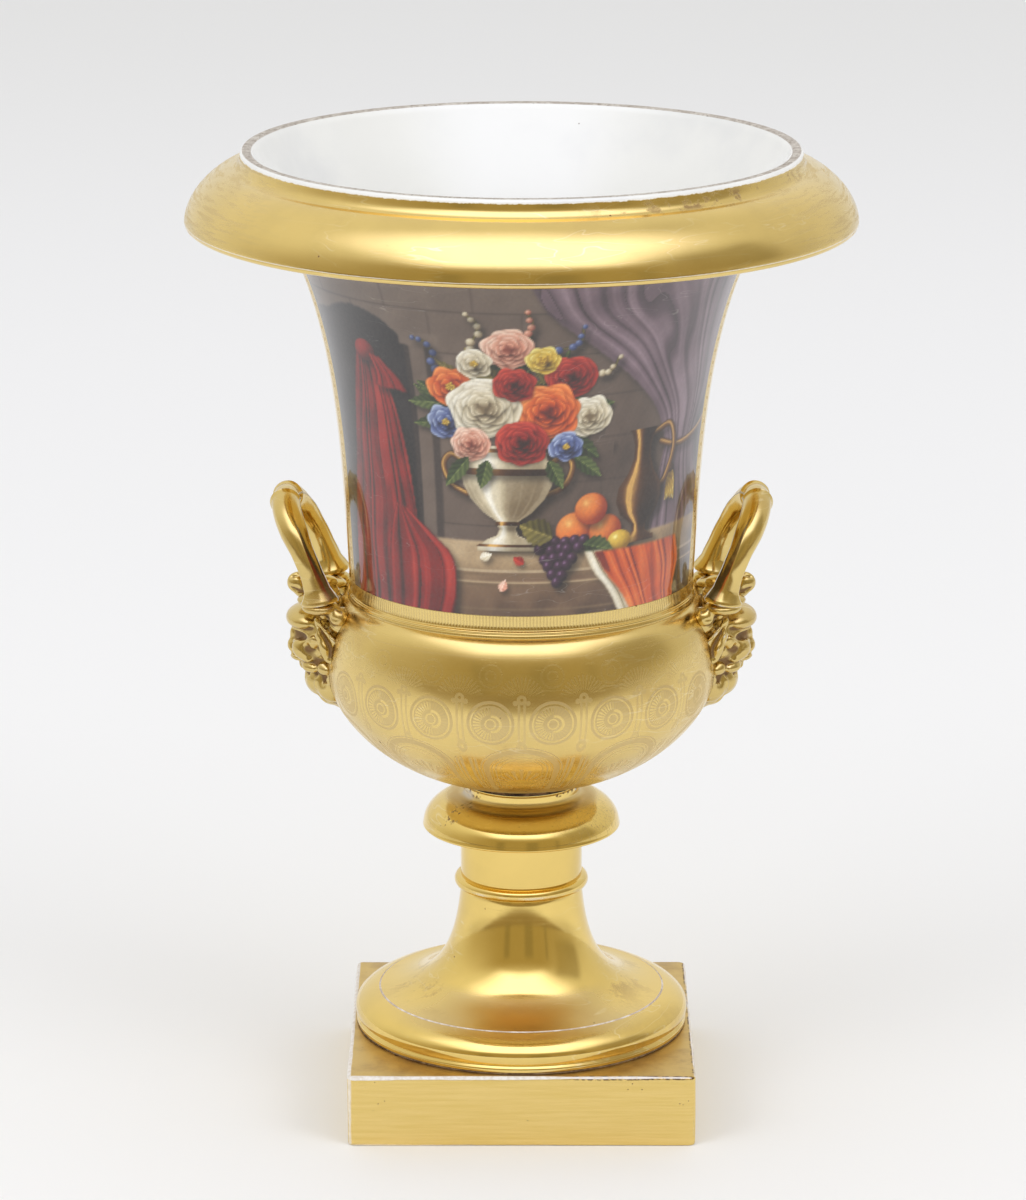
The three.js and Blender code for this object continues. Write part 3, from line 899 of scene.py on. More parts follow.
class Painting:
    """Colours on a grid of points, as the eye sees them. Places are in millimetres across and up."""

    def __init__(self, across, up):
        self.x, self.y = across, up
        self.cell = up[1, 0] - up[0, 0]
        self.colour = np.zeros((*across.shape, 3))
        self.grain = self.clouds(2.6, 3) * 0.4 + self.clouds(7.0, 4) * 0.6

    def part(self, x, y, reach):
        """The same picture round one place alone, which is quicker to paint."""
        some = copy.copy(self)
        far = reach / self.cell + 10
        row = (y - self.y[0, 0]) / self.cell
        column = (x - self.x[0, 0]) / (self.x[0, 1] - self.x[0, 0])
        spots = tuple(slice(max(0, int(middle - far)), max(1, int(middle + far))) for middle in (row, column))
        for name in ("x", "y", "colour", "grain"):
            setattr(some, name, getattr(self, name)[spots])
        return some

    def clouds(self, size, seed):
        """Soft noise round 0, with patches of about this size."""
        chance = np.random.default_rng(seed)
        total = np.zeros_like(self.x)
        for _ in range(12):
            turn = chance.uniform(0, TURN)
            rate = TURN / size / chance.uniform(0.6, 2.0)
            along = self.x * math.cos(turn) + self.y * math.sin(turn)
            total += np.sin(along * rate + chance.uniform(0, TURN))
        return total / 4

    def lay(self, cover, paint, light):
        cover = np.clip(cover, 0, 1)[..., None]
        self.colour += (tone(paint, light + self.grain * 0.04) - self.colour) * cover

    def shade(self, cover, depth, right=3, down=4, rounds=8):
        """Darkens the ground beside a shape, away from the light."""
        cast = np.roll(cover, (-down, right), (0, 1))
        cast[-down:] = 0
        self.colour *= 1 - depth * blur(cast, rounds)[..., None]

    def inside(self, outline, soft=1):
        """1 inside a closed outline, 0 outside."""
        found = np.zeros(self.x.shape, dtype=bool)
        for (x0, y0), (x1, y1) in zip(outline, np.roll(outline, -1, axis=0)):
            if y0 != y1:
                crosses = (y0 > self.y) != (y1 > self.y)
                found ^= crosses & (self.x < x0 + (self.y - y0) * (x1 - x0) / (y1 - y0))
        return blur(found.astype(float), soft)

    def near(self, x, y, wide, tall, lean=0.0):
        """Places from a point, in an ellipse's half widths. lean turns it anticlockwise, in degrees."""
        turn = math.radians(lean)
        right, up = self.x - x, self.y - y
        along = (right * math.cos(turn) + up * math.sin(turn)) / wide
        return along, (up * math.cos(turn) - right * math.sin(turn)) / tall

    def edge(self, far, size):
        """Soft cover of a shape that ends where far is 1."""
        return np.clip((1 - far) * size / self.cell + 0.5, 0, 1)

    def ball(self, x, y, wide, tall, paint, gloss=0.5):
        here = self.part(x, y, max(wide, tall))
        right, up = here.near(x, y, wide, tall)
        far = np.hypot(right, up)
        cover = here.edge(far, min(wide, tall))
        here.shade(cover, 0.45)
        facing = np.sqrt(np.clip(1 - far**2, 0, 1))
        glow = np.clip(far - 0.75, 0, 1) * 0.9 * np.clip(right - up, 0, 1)
        shine = np.exp(-(((right + 0.34) / 0.16) ** 2) - ((up - 0.38) / 0.18) ** 2)
        here.lay(cover, paint, 0.1 + facing * 0.4 + (up - right) * 0.26 + glow + shine * gloss)

    def leaf(self, x, y, length, width, lean, paint, light=0.0):
        """A leaf or petal from its foot, pointed at both ends, with a rib and veins."""
        here = self.part(x, y, length)
        along, side = here.near(x, y, length, width, lean)
        inner = np.clip(along, 0, 1)
        half = np.sin(math.pi * inner**0.8) ** 0.9 * (1 + 0.08 * np.sin(inner * 34)) + 1e-6
        cover = here.edge(np.abs(side) / half, width * 0.7) * (along > 0) * (along < 1)
        here.shade(cover, 0.4, 2, 3, 5)
        veins = 0.1 * np.sin((inner * 5 - np.abs(side) * 1.3) * TURN) * (half > 0.4)
        rib = bell(side, 0.09) * 0.3
        here.lay(cover, paint, 0.26 + 0.26 * (side > 0) + 0.22 * inner + veins + rib + light)

    def bloom(self, x, y, size, paint, petals, rings, turned, heart=None):
        """A full flower of rings of petals, drawn from the outside in, with seeds in an open one's heart."""
        for ring in range(rings):
            reach = size * (1 - 0.86 * ring / rings)
            for petal in range(petals - ring):
                uneven = 0.16 * math.sin(petal * 5 + ring)
                angle = turned + ring * 1.1 + TURN * petal / (petals - ring) + uneven
                out = Vector((math.cos(angle), math.sin(angle) * 0.88))
                spot = Vector((x, y)) + out * reach * (0.5 + 0.05 * math.sin(petal * 3 + ring * 2 + turned))
                self.cup(spot, reach * 0.56, angle, paint, 0.17 * math.cos(angle - 2.3) - 0.05 * ring)
        if heart:
            for seed in range(14):
                reach = size * 0.05 * math.sqrt(seed)
                spot = (x + reach * math.cos(seed * 2.4), y + reach * math.sin(seed * 2.4))
                self.ball(*spot, size * 0.06, size * 0.06, heart)

    def cup(self, spot, size, angle, paint, light):
        """One cupped petal: light at its outer rim, dark towards the flower's middle."""
        here = self.part(*spot, size)
        right, up = here.near(*spot, size, size * 0.94)
        out = right * math.cos(angle) + up * math.sin(angle)
        side = up * math.cos(angle) - right * math.sin(angle)
        far = np.hypot(right, up) / (1 + 0.06 * np.sin(np.arctan2(side, out) * 4 + angle * 7))
        cover = here.edge(far, size)
        here.shade(cover, 0.3, 0, 1, 3)
        rim = bell(far - 0.88, 0.1) * np.clip(out + 0.2, 0, 1)
        here.lay(cover, paint, 0.4 + 0.36 * out - 0.1 * side**2 + 0.2 * rim + light)

    def cloth(self, left, right, folds, paint, light=0.5, seed=1):
        """Cloth that hangs in folds between two edges, each a row of points from its top down."""
        left, right = flat_route(left), flat_route(right)
        cover = self.inside(np.concatenate((left, right[::-1])))
        self.shade(cover, 0.5, 4, 4, 10)
        start = np.interp(-self.y, -left[:, 1], left[:, 0])
        end = np.interp(-self.y, -right[:, 1], right[:, 0])
        share = (self.x - start) / np.maximum(end - start, 1e-6)
        uneven = 0.05 * np.sin(share * 13 + seed) + 0.02 * np.sin(share * 31 + seed)
        place = (share + (uneven + 0.035 * self.clouds(60, seed))) * folds
        across = place % 1
        deep = 0.65 + 0.35 * np.sin(np.floor(place) * 2.3 + seed + self.y * 0.03)
        arch = np.sin(across * math.pi)
        lit = light + deep * (0.66 * arch - 0.45 + 0.26 * np.cos(across * math.pi) * arch**0.6)
        lit = lit + 0.1 * self.clouds(24, seed + 1)
        self.lay(cover, paint, lit + 0.05 * np.sin(place * TURN * 3.1))

    def rod(self, points, width, paint, gloss=0.4):
        """A round bar, cord or stem along a curve."""
        route = flat_route(points)
        middle = route.mean(axis=0)
        here = self.part(*middle, np.ptp(route, axis=0).max())
        spots = np.stack((here.x.ravel(), here.y.ravel()), axis=1)
        far = gap_to(spots, route).reshape(here.x.shape) / width
        lifted = gap_to(spots - (-0.4 * width, 0.4 * width), route).reshape(here.x.shape) / width
        cover = here.edge(far, width)
        here.shade(cover, 0.35)
        here.lay(cover, paint, 0.62 - 0.4 * far**2 + gloss * bell(lifted, 0.35))

    def turned(self, x, profile, paint, gloss=0.6):
        """A turned vessel, from heights and half widths."""
        heights, widths = np.array(profile, dtype=float).T
        half = np.interp(self.y, heights, widths, left=0, right=0)
        side = (self.x - x) / np.maximum(half, 1e-6)
        cover = self.edge(np.abs(side), half) * (half > 0)
        self.shade(cover, 0.5, 5, 3, 10)
        slope = np.interp(self.y, heights, np.gradient(widths, heights))
        lit = 0.2 + bell(side + 0.42, 0.34) * 0.55 + bell(side + 0.5, 0.09) * gloss
        lit = lit + bell(side - 0.93, 0.12) * 0.18 - np.clip(slope, -1, 1) * 0.16 - 0.1 * side
        self.lay(cover, paint, lit)


def paint_still_life(across, up):
    """A bouquet, fruit and cloths on a stone ledge, before a wall with a niche and a curtain."""
    picture = Painting(across, up)
    for paint_part in (paint_wall, paint_curtain, paint_ledge, paint_urn, paint_bouquet, paint_fruit):
        paint_part(picture)
    picture.colour *= (1 - 0.16 * np.clip(np.abs(across) / 95, 0, 1) ** 2)[..., None]
    picture.colour *= (1 + 0.012 * picture.clouds(1.6, 8) + 0.02 * picture.clouds(9, 9))[..., None]
    return np.clip(picture.colour, 0, 1)


def paint_wall(picture):
    """Faint courses of stone, and a dark niche on the left with a pilaster."""
    x, y = picture.x, picture.y
    picture.lay(np.ones_like(x), WALL, 0.6 - x / 400 + (y - 80) / 500 + picture.clouds(40, 1) * 0.08)
    for course in range(6):
        height = 40 + 19 * course
        picture.lay(bell(y - height, 0.5) * 0.5, WALL, 0.25)
        for joint in range(-3, 4):
            gap = x - 34 * joint - 17 * (course % 2)
            picture.lay(bell(gap, 0.5) * (np.abs(y - height - 9.5) < 9.5) * 0.35, WALL, 0.25)
    niche = [(-104, 10), (-104, 112), (-84, 128), (-66, 132), (-50, 124), (-44, 106), (-44, 10), (-104, 10)]
    shadow = 0.42 + picture.clouds(30, 2) * 0.1 - (x + 76) / 160
    picture.lay(picture.inside(flat_route(niche)), SLATE, shadow)
    for low, high, light in ((-44, -37, 0.72), (-37, -34, 0.2), (-46, -44, 0.1)):
        picture.lay(picture.inside([(low, 10), (low, 118), (high, 118), (high, 10)]), WALL, light)
    picture.lay(picture.inside([(-48, 118), (-48, 124), (-31, 124), (-31, 118)]), WALL, 0.85)


def paint_curtain(picture):
    """A mauve curtain tied back on the right, and a crimson drape knotted over the niche on the left."""
    left = [(2, 150), (10, 134), (28, 118), (46, 102), (60, 86), (67, 70)]
    picture.cloth(left, [(108, 150), (104, 120), (98, 90), (90, 70)], 9, MAUVE, 0.55, 3)
    left = [(67, 71), (63, 52), (60, 32), (58, 18)]
    picture.cloth(left, [(91, 71), (97, 52), (104, 32), (108, 18)], 6, MAUVE, 0.45, 5)
    picture.rod([(64, 72), (72, 69.4), (80, 69), (92, 72), (104, 78)], 1.5, BRONZE)
    picture.rod([(72, 69), (71.5, 63), (72.5, 59)], 0.8, BRONZE)
    picture.ball(72.5, 58, 2.2, 2.4, BRONZE)
    for thread in range(7):
        picture.leaf(71 + thread * 0.5, 57, 13, 0.9, -97 + thread * 2.4, LEMON, -0.1)
    left = [(-72, 112), (-79, 90), (-85, 60), (-90, 30), (-92, -8)]
    right = [(-62, 112), (-55, 92), (-50, 66), (-47, 40), (-44, 14), (-44, -8)]
    picture.cloth(left, right, 7, CRIMSON, 0.42, 2)
    picture.ball(-67, 112, 5.6, 5.0, CRIMSON, 0.1)
    left = [(-65, 111), (-63, 103), (-64, 97)]
    picture.cloth(left, [(-59, 110), (-51, 102), (-47, 96)], 3, CRIMSON, 0.55, 4)


def paint_ledge(picture):
    """A moulded stone ledge, with the end of the crimson drape over its left side."""
    x, y = picture.x, picture.y
    shown = x > -53
    top = picture.inside([(-110, 20), (-110, 33), (110, 33), (110, 20)])
    picture.lay(top * shown, STONE, 0.5 + (y - 26) / 60 + picture.clouds(14, 5) * 0.07 - x / 500)
    front = picture.inside([(-110, -5), (-110, 20), (110, 20), (110, -5)])
    picture.lay(front * shown, FLOOR, 0.55 + (y - 10) / 60 - x / 400 + picture.clouds(16, 6) * 0.09)
    for height, light in ((20, 0.95), (18.4, 0.2), (15, 0.7), (13.8, 0.15), (3, 0.2)):
        picture.lay(bell(y - height, 0.55) * shown * 0.8, STONE, light)
    left = [(-58, 46), (-62, 34), (-64, 18), (-64, -8)]
    right = [(-52, 44), (-38, 33), (-30, 24), (-29, 8), (-33, -8)]
    picture.cloth(left, right, 4, CRIMSON, 0.5, 6)


URN = (
    (29, 13), (31.5, 13), (32, 11), (34, 9), (36, 4.5), (39, 3.4), (41, 5), (42, 4.4), (46, 10), (52, 15.5),
    (58, 18.5), (64, 19.5), (66, 18.6), (69, 16.6), (72, 16), (74, 18.6), (75.6, 19),
)
EWER = (
    (29, 9), (31, 9), (32, 6), (34, 3.5), (37, 4), (42, 10), (48, 12.5), (54, 11.5), (60, 7), (66, 4.6),
    (72, 4.4), (77, 6), (79, 7.2),
)


def paint_urn(picture):
    """A cream urn with fluting, bronze bands and scrolled handles."""
    x, y = picture.x, picture.y
    for hand in (-1, 1):
        scroll = [(16, 66), (23, 71), (27, 66), (24, 58), (17, 54)]
        picture.rod([(-6 + hand * out, up) for out, up in scroll], 1.4, BRONZE)
    picture.turned(-6, URN, CREAM, 0.4)
    half = np.interp(y, *zip(*URN))
    for flute in range(-4, 5):
        place = math.sin(flute * 0.34)
        line = bell(x + 6 - place * half, 0.55) * (y > 44) * (y < 61)
        picture.lay(line * 0.5, CREAM, 0.2 + 0.3 * (place < 0))
    for low, high in ((62.6, 65.2), (40.6, 42), (72.6, 74.4), (30.6, 32.2)):
        widths = [(z, np.interp(z, *zip(*URN)) + 0.3) for z in (low, (low + high) / 2, high)]
        picture.turned(-6, widths, BRONZE, 0.9)


def paint_bouquet(picture):
    """Leaves, sprigs and thirteen full flowers above the urn."""
    chance = np.random.default_rng(21)
    for _ in range(54):
        angle = chance.uniform(-0.4, math.pi + 0.4)
        reach = chance.uniform(6, 29)
        foot = (-6 + reach * math.cos(angle), 88 + reach * 0.9 * math.sin(angle))
        lean = math.degrees(angle) + chance.uniform(-35, 35)
        paint = GREEN if chance.uniform() < 0.6 else OLIVE
        length, width = chance.uniform(11, 19), chance.uniform(2.6, 4.4)
        picture.leaf(*foot, length, width, lean, paint, chance.uniform(-0.15, 0.15))
    for spray, angle in enumerate((34, 58, 82, 106, 134)):
        stem = []
        for bud in range(8):
            turn = math.radians(angle + 4 * math.sin(bud * 0.9))
            reach = 30 + bud * 3.2
            stem.append((-6 + reach * math.cos(turn), 84 + reach * math.sin(turn)))
        picture.rod(stem, 0.45, OLIVE, 0)
        for bud, spot in enumerate(stem[1:]):
            size = 2.1 - bud * 0.17
            paint = (CREAM, SKY, BLUSH)[spray % 3]
            picture.ball(spot[0] + math.cos(bud * 2), spot[1], size, size, paint, 0.2)
    flowers = (
        (-28, 101, 9.5, ORANGE, 6, 3), (19, 106, 10, CRIMSON, 8, 5), (-5, 119, 9.5, BLUSH, 8, 5),
        (-31, 85, 8, SKY, 6, 3), (27, 88, 9.5, CREAM, 8, 5), (-18, 112, 7, CREAM, 6, 3),
        (8, 114, 6.5, LEMON, 6, 3), (10, 91, 13, ORANGE, 8, 6), (-15, 92, 14, CREAM, 9, 7),
        (0, 77, 10.5, CRIMSON, 8, 6), (-21, 76, 8, BLUSH, 8, 5), (18, 75, 7, SKY, 6, 3),
        (-3, 103, 8, CRIMSON, 8, 5),
    )
    for step, (x, y, size, paint, petals, rings) in enumerate(flowers):
        picture.bloom(x, y, size, paint, petals, rings, step * 0.7, heart=LEMON if rings == 3 else None)
    low_leaves = ((-22, 70, 17, -128), (-14, 69, 13, -104), (11, 69, 14, -64), (22, 70, 15, -38))
    for x, y, length, lean in low_leaves:
        picture.leaf(x, y, length, 3.4, lean, GREEN, 0.1)


def paint_fruit(picture):
    """A bronze ewer, peaches, a lemon, grapes and an orange cloth with a cream lining."""
    picture.rod([(59, 76), (69, 79), (73, 68), (69, 56), (65, 52)], 1.5, BRONZE)
    picture.turned(54, EWER, BRONZE, 0.9)
    for x, y, size in ((23, 37.5, 8.5), (37, 36, 7.8), (30, 46.5, 7.4)):
        picture.ball(x, y, size, size * 0.95, PEACH, 0.25)
    picture.ball(44, 31, 6, 4.6, LEMON)
    chance = np.random.default_rng(4)
    for row in range(6):
        for berry in range(6 - row):
            x, y = 6 + berry * 4.1 + row * 1.8, 33 - row * 3.7
            picture.ball(x + chance.uniform(-0.7, 0.7), y + chance.uniform(-0.7, 0.7), 2.5, 2.6, PLUM, 0.6)
    picture.leaf(13, 35, 15, 6, 158, OLIVE)
    picture.leaf(27, 31, 15, 5, -16, GREEN)
    lining_left = [(27, 28), (32, 18), (40, 8), (48, -8)]
    lining_right = [(36, 28), (42, 18), (50, 8), (58, -8)]
    picture.cloth(lining_left, lining_right, 2, CREAM, 0.55, 7)
    left = [(32, 27), (38, 17), (47, 6), (55, -8)]
    picture.cloth(left, [(80, 27), (83, 16), (80, 4), (82, -8)], 7, ORANGE, 0.5, 9)
    for x, y, lean, paint in ((-18, 25.5, 20, CREAM), (1, 23.5, 150, CRIMSON), (-9, 11, 70, BLUSH)):
        picture.leaf(x, y, 5.5, 2, lean, paint, 0.2)


# Gilded ornament


def round_place(gold):
    """Angle from the front, radius and length along the profile, the last two in millimetres."""
    x, y, _ = gold.axes()
    return x.angle(-y), span(x, y) * (1 / MM), gold.attribute("run") * (1 / MM)


def start_of(outline, finish):
    """Length along the profile where a finish starts."""
    return min(run for run, word in outline.marks if word == finish)


def ticked_gold(name, lines, share):
    """Gold with upright lines pressed into it all round."""
    gold = Shader(name)
    azimuth, _, _ = round_place(gold)
    groove = abs((azimuth * (lines / TURN)).cell()).under(share / 2, 0.1)
    return gilding(gold, 0.12, matt=groove * 0.45, relief=groove * -1.0, body=True)


def neck_gold():
    """Burnished gold, with an upright tooled border at each side of the painted panel."""
    gold = Shader("neck_gold")
    azimuth, radius, _ = round_place(gold)
    _, _, z = gold.axes()
    across = (abs(azimuth) - PANEL_HALF_TURN - BORDER_TURN / 2) * radius
    inside = abs(across).under(4.0, 0.2)
    links = (z * (1 / (5.2 * MM))).cell() * 5.2
    ring = span(links, across)
    bright = ring.within(1.3, 1.9, 0.15).high(ring.under(0.6)).high(abs(across).within(3.0, 3.4, 0.1))
    return gilding(gold, matt=inside * (1.0 - bright) * 0.9, body=True)


def lip_gold(outline):
    """Brushed gold, with brown marks below the rim and the white rubbed through at both edges."""
    gold = Shader("lip_gold")
    azimuth, _, run = round_place(gold)
    along = run - start_of(outline, "lip")
    whole = lip_length(outline)
    chips = gold.noise(260.0, 4.0, 0.7)
    from_rim = whole - along + (chips - 0.5) * 1.6
    wear = from_rim.under(0.3, 0.3).high((along + (chips - 0.5) * 0.5).under(0.35, 0.15) * 0.7)
    patches = gold.noise(55.0, 5.0, 0.7)
    marked = patches.rise(0.52, 0.6) * from_rim.within(1.0, 7.0, 1.5) * azimuth.within(0.35, 1.25, 0.25)
    streaks = gold.noise(36.0, 6.0, 0.8, gold.stretch(1.0, 1.0, 14.0))
    rubbed = streaks.rise(0.47, 0.58) * abs(azimuth).rise(0.7, 1.25)
    return gilding(gold, 0.13, wear=wear, matt=rubbed * 0.75, stain_and_shade=marked * 0.8, tarnish=0.3, body=True)


def lip_length(outline):
    """Length of the gilded lip along the profile."""
    starts = [run for run, _ in outline.marks]
    first = start_of(outline, "lip")
    return min(run for run in starts if run > first) - first


ROSETTE_UP = 77.5
ARCH_SPRING = 50.0


def frieze_gold(outline):
    """The bowl's ornament of matt and burnished gold: arches, rosettes with stems between them, then fans."""
    gold = Shader("frieze_gold")
    azimuth, radius, run = round_place(gold)
    up = run - start_of(outline, "frieze")
    rosettes = rosette_row(azimuth, radius, up)
    arches = arch_row(azimuth, radius, up)
    fans = fan_row(azimuth, radius, up)
    faded = gold.noise(30.0, 4.0, 0.6).rise(0.3, 0.5)
    matt = rosettes.high(arches).high(fans).high(up.under(24, 12) * 0.9) * (0.7 + faded * 0.3)
    return gilding(gold, 0.19, matt=matt, relief=matt * 0.04, tarnish=0.5, body=True)


def rosette_row(azimuth, radius, up):
    """Twenty matt discs with burnished rings, spokes and bosses, and stems between them."""
    pitch = TURN / 20
    across = (azimuth * (1 / pitch)).cell() * radius * pitch
    rise = up - ROSETTE_UP
    far = span(across, rise)
    spoke = spokes(rise, across, 30, 0.26) * far.within(4.2, 7.6, 0.2)
    left = across.under(0.2, 0.7)
    right = 1.0 - left
    crescent = span(across - 0.8, rise).within(3.0, 4.2, 0.2) * right
    boss = far.within(1.9, 2.5, 0.2)
    bright = far.within(8.3, 9.1, 0.2).high(spoke * left).high(spoke * right * 0.3).high(crescent).high(boss)
    disc = far.under(10.4, 0.2) * (1.0 - bright)
    # distance from the line between two discs
    edge = radius * (pitch / 2) - abs(across)
    stem = edge.within(0.7, 1.7, 0.15) * up.within(67, 87, 0.3)
    bulb = span(edge, (up - 65.5) * 0.62).within(0.8, 2.3, 0.2)
    tip = span(edge, up - 88.6).within(0.7, 2.1, 0.2)
    side_leaf = span(edge - 2.7, up - 87.2).under(1.1, 0.2)
    return disc.high(stem.high(bulb.high(tip).high(side_leaf)) * 0.65)


def arch_row(azimuth, radius, up):
    """Ten round arches with matt bands, a fan inside each and long leaves between them."""
    pitch = TURN / 10
    place = (azimuth * (1 / pitch) + 0.5).cell()
    side = abs(place)
    above = (up - ARCH_SPRING).high(0.0)

    def reach(half, rise):
        return span(side * (1 / half), above * (1 / rise))

    outer = reach(0.385, 16.0)
    inner = reach(0.275, 11.0)
    band = outer.under(1.0, 0.012) * (1.0 - inner.under(1.0, 0.015))
    lines = outer.within(0.93, 0.96, 0.01).high(inner.within(1.03, 1.08, 0.012))
    band = band * (1.0 - lines)
    beading = inner.within(0.7, 0.74, 0.02) * (up.cell() + 0.5).under(0.6)
    trim = inner.within(0.86, 0.9, 0.012).high(beading * 0.8)
    across = place * radius * pitch
    rise = up - 34.0
    far = span(across, rise)
    fan = spokes(rise, across, 26, 0.22, 0.12) * far.within(7, 17 - abs(across) * 0.3, 0.5)
    fan = fan * rise.rise(0.0, 3.0)
    curl = span(abs(across) - 7.5, up - 30.0)
    scroll = curl.within(2.9, 3.8, 0.2).high(curl.within(0.8, 1.6, 0.2))
    gap = 0.5 - side
    leaves = gap.within(0.028, 0.058, 0.006).high(gap.within(0.075, 0.098, 0.006)) * up.within(8, 58, 2)
    return band.high(trim).high(fan * 0.8).high(scroll * 0.7).high(leaves)


def fan_row(azimuth, radius, up):
    """Faint fans and scrolls over the rosettes, and two fine lines above them."""
    pitch = TURN / 20
    across = (azimuth * (1 / pitch) + 0.5).cell() * radius * pitch
    rise = up - 88.0
    far = span(across, rise)
    fan = spokes(rise, across, 34, 0.22, 0.12) * far.within(4.0, 10.5, 0.4)
    fan = fan * rise.rise(1.5, 3.5)
    curl = span(radius * (pitch / 2) - abs(across), up - 98.5)
    scroll = curl.within(4.4, 5.3, 0.2).high(curl.within(1.6, 2.6, 0.2))
    lines = up.within(106.0, 106.6, 0.1).high(up.within(92.2, 92.7, 0.1))
    return fan.high(scroll * 0.6).high(lines * 0.5) * 0.45


# Pedestal and plinth


def pedestal_outline():
    foot_z = foot_bottom
    foot_top = foot_z + 15.4
    trumpet = 63.5
    trumpet_top = foot_top + 47.4
    stem = 27.1
    bead = 2.8
    stem_top = trumpet_top + 2 * bead + 22.6
    collar = 43.8
    collar_top = stem_top + 13.8
    necking = 25.5
    wall = FIRED_WALL
    line = Outline(foot_radius - wall, foot_z)
    line.mark("gold")
    fillet = ((1, 0), (0.55, 0.3), (0.4, 1.2), (0.6, 2.1), (1.3, 2.7), (1.4, 3.1))
    line.line(*((foot_radius - inset, foot_z + rise) for inset, rise in fillet))
    line.curve((foot_radius - 0.4, foot_z + 3.6), (foot_radius, foot_z + 5), (foot_radius, foot_z + 6.6), 10)
    torus_end = (trumpet + 0.3, foot_top - 0.2)
    line.curve((foot_radius, foot_top - 4.2), (trumpet + 4.6, foot_top - 1.1), torus_end, 26)
    line.mark("groove")
    line.line((trumpet - 0.1, foot_top - 0.3), (trumpet - 0.5, foot_top + 0.1))
    line.mark("gold")
    waist = (stem - 0.1, trumpet_top - 0.4)
    line.curve((stem + 7.7, foot_top + 1.9), (stem + 2.1, foot_top + 23), waist, 40)
    line.line((stem - 0.2, trumpet_top))
    line.arc((stem - 0.1, trumpet_top + bead), bead, -80, 80, 12)
    line.line((stem - 0.2, trumpet_top + 2 * bead), (stem - 0.1, trumpet_top + 2 * bead + 0.5))
    line.line((stem - 0.1, stem_top - 1.2))
    line.arc((stem + 0.9, stem_top - 1), 1, 180, 90, 4)
    line.curve((stem + 6, stem_top + 0.2), (collar - 6, stem_top + 0.3), (collar - 0.9, stem_top - 0.1), 8)
    line.arc((collar - 0.8, stem_top + 0.8), 0.8, -80, 40, 5)
    crown = (necking + 3.2, collar_top + 0.4)
    line.curve((collar - 0.6, stem_top + 9.5), (necking + 9, collar_top + 0.6), crown, 24)
    line.curve((necking + 1.2, collar_top + 0.5), (necking, collar_top + 1.4), (necking, collar_top + 3), 8)
    for height in np.linspace(collar_top + 3.4, pedestal_top - 0.8, 6):
        line.line((necking, height))
    line.line((necking + 0.2, pedestal_top - 0.5), (necking + 0.2, pedestal_top))
    line.mark("raw")
    line.line((BOLT_HOLE, pedestal_top), (BOLT_HOLE, pedestal_top - wall))
    line.line((necking - wall, pedestal_top - wall))
    line.line((stem - wall, stem_top), (stem - wall, trumpet_top))
    apron = (trumpet - wall, foot_top - wall)
    line.curve((stem - wall, foot_top + 20), (stem + 2, foot_top - 4), apron, 10)
    return line


class VASE_OT_pedestal(bpy.types.Operator):
    """Turns the collar, stem, bead and trumpet foot"""

    bl_idname = "vase.pedestal"
    bl_label = "Pedestal"

    def execute(self, context):
        outline = pedestal_outline()
        pedestal = turn("pedestal_turned", outline, 192)
        finishes = {
            "gold": pedestal_gold().material,
            "groove": worn_line().material,
            "raw": white_glaze("pedestal_inside").material,
        }
        finish_by_marks(pedestal, outline, finishes)
        settle(pedestal, "gilded_porcelain", "pedestal")
        return {"FINISHED"}


def pedestal_gold():
    """Burnished gold with brown crumbs at the upper joint, scratches on the collar, smudges on the foot."""
    gold = Shader("pedestal_gold")
    x, y, z = gold.axes()
    azimuth = x.angle(-y)
    height = z * (1 / MM)
    crumbs = (gold.dots(520.0) + (gold.noise(700.0, 3.0, 0.7) - 0.5) * 0.5).under(0.42, 0.05)
    crumbs = crumbs * gold.noise(190.0, 2.0).rise(0.44, 0.5)
    left = azimuth.within(-1.3, -0.82, 0.1) * height.within(140.4, 143.8, 0.8)
    right = azimuth.within(0.6, 1.3, 0.1) * height.within(142, 143.9, 0.5)
    drip = azimuth.within(-0.98, -0.8, 0.05) * height.within(132.5, 138.5, 1.2)
    joint = crumbs * left.high(right).high(drip)
    bare = azimuth.within(-1.5, -1.0, 0.1) * height.within(138.5, 142.5, 1.0) * 0.7
    hairs = gold.noise(420.0, 3.0, 0.6, gold.stretch(1.0, 1.0, 0.16), 0.6)
    grazed = 1.0 - abs(hairs - 0.5).rise(0.0, 0.02)
    grazed = grazed * azimuth.within(0.5, 1.5, 0.3) * height.within(126, 138, 1.5)
    smudges = gold.noise(36.0, 5.0, 0.7).rise(0.5, 0.62)
    smudges = smudges * height.within(49.5, 56, 2.5) * abs(azimuth).within(0.7, 2.2, 0.3)
    stain_and_shade = joint.high(grazed * 0.45).high(smudges * 0.4)
    bead = height.within(97.2, 98.4, 0.3) * gold.noise(50.0, 3.0).rise(0.4, 0.6)
    chip = span(x - 0.0245, y + 0.0085, z - (pedestal_top - 1) * MM).under(0.0014, 0.0002)
    blurred = height.within(46, 56, 2) * abs(azimuth).under(0.9, 0.3)
    blurred = blurred.high(height.within(137, 140.5, 0.8)) * 0.75
    return gilding(gold, wear=chip.high(bead * 0.5).high(bare), matt=blurred, stain_and_shade=stain_and_shade, tarnish=0.55)


def worn_line():
    """Pale line where the gold has worn out of the groove round the foot."""
    line = Shader("worn_groove", roughness=0.5)
    patches = line.noise(180.0, 4.0, 0.7)
    line.set(base_color=line.mix(patches.rise(0.35, 0.6), (0.8, 0.74, 0.68), (0.55, 0.45, 0.35)))
    return line


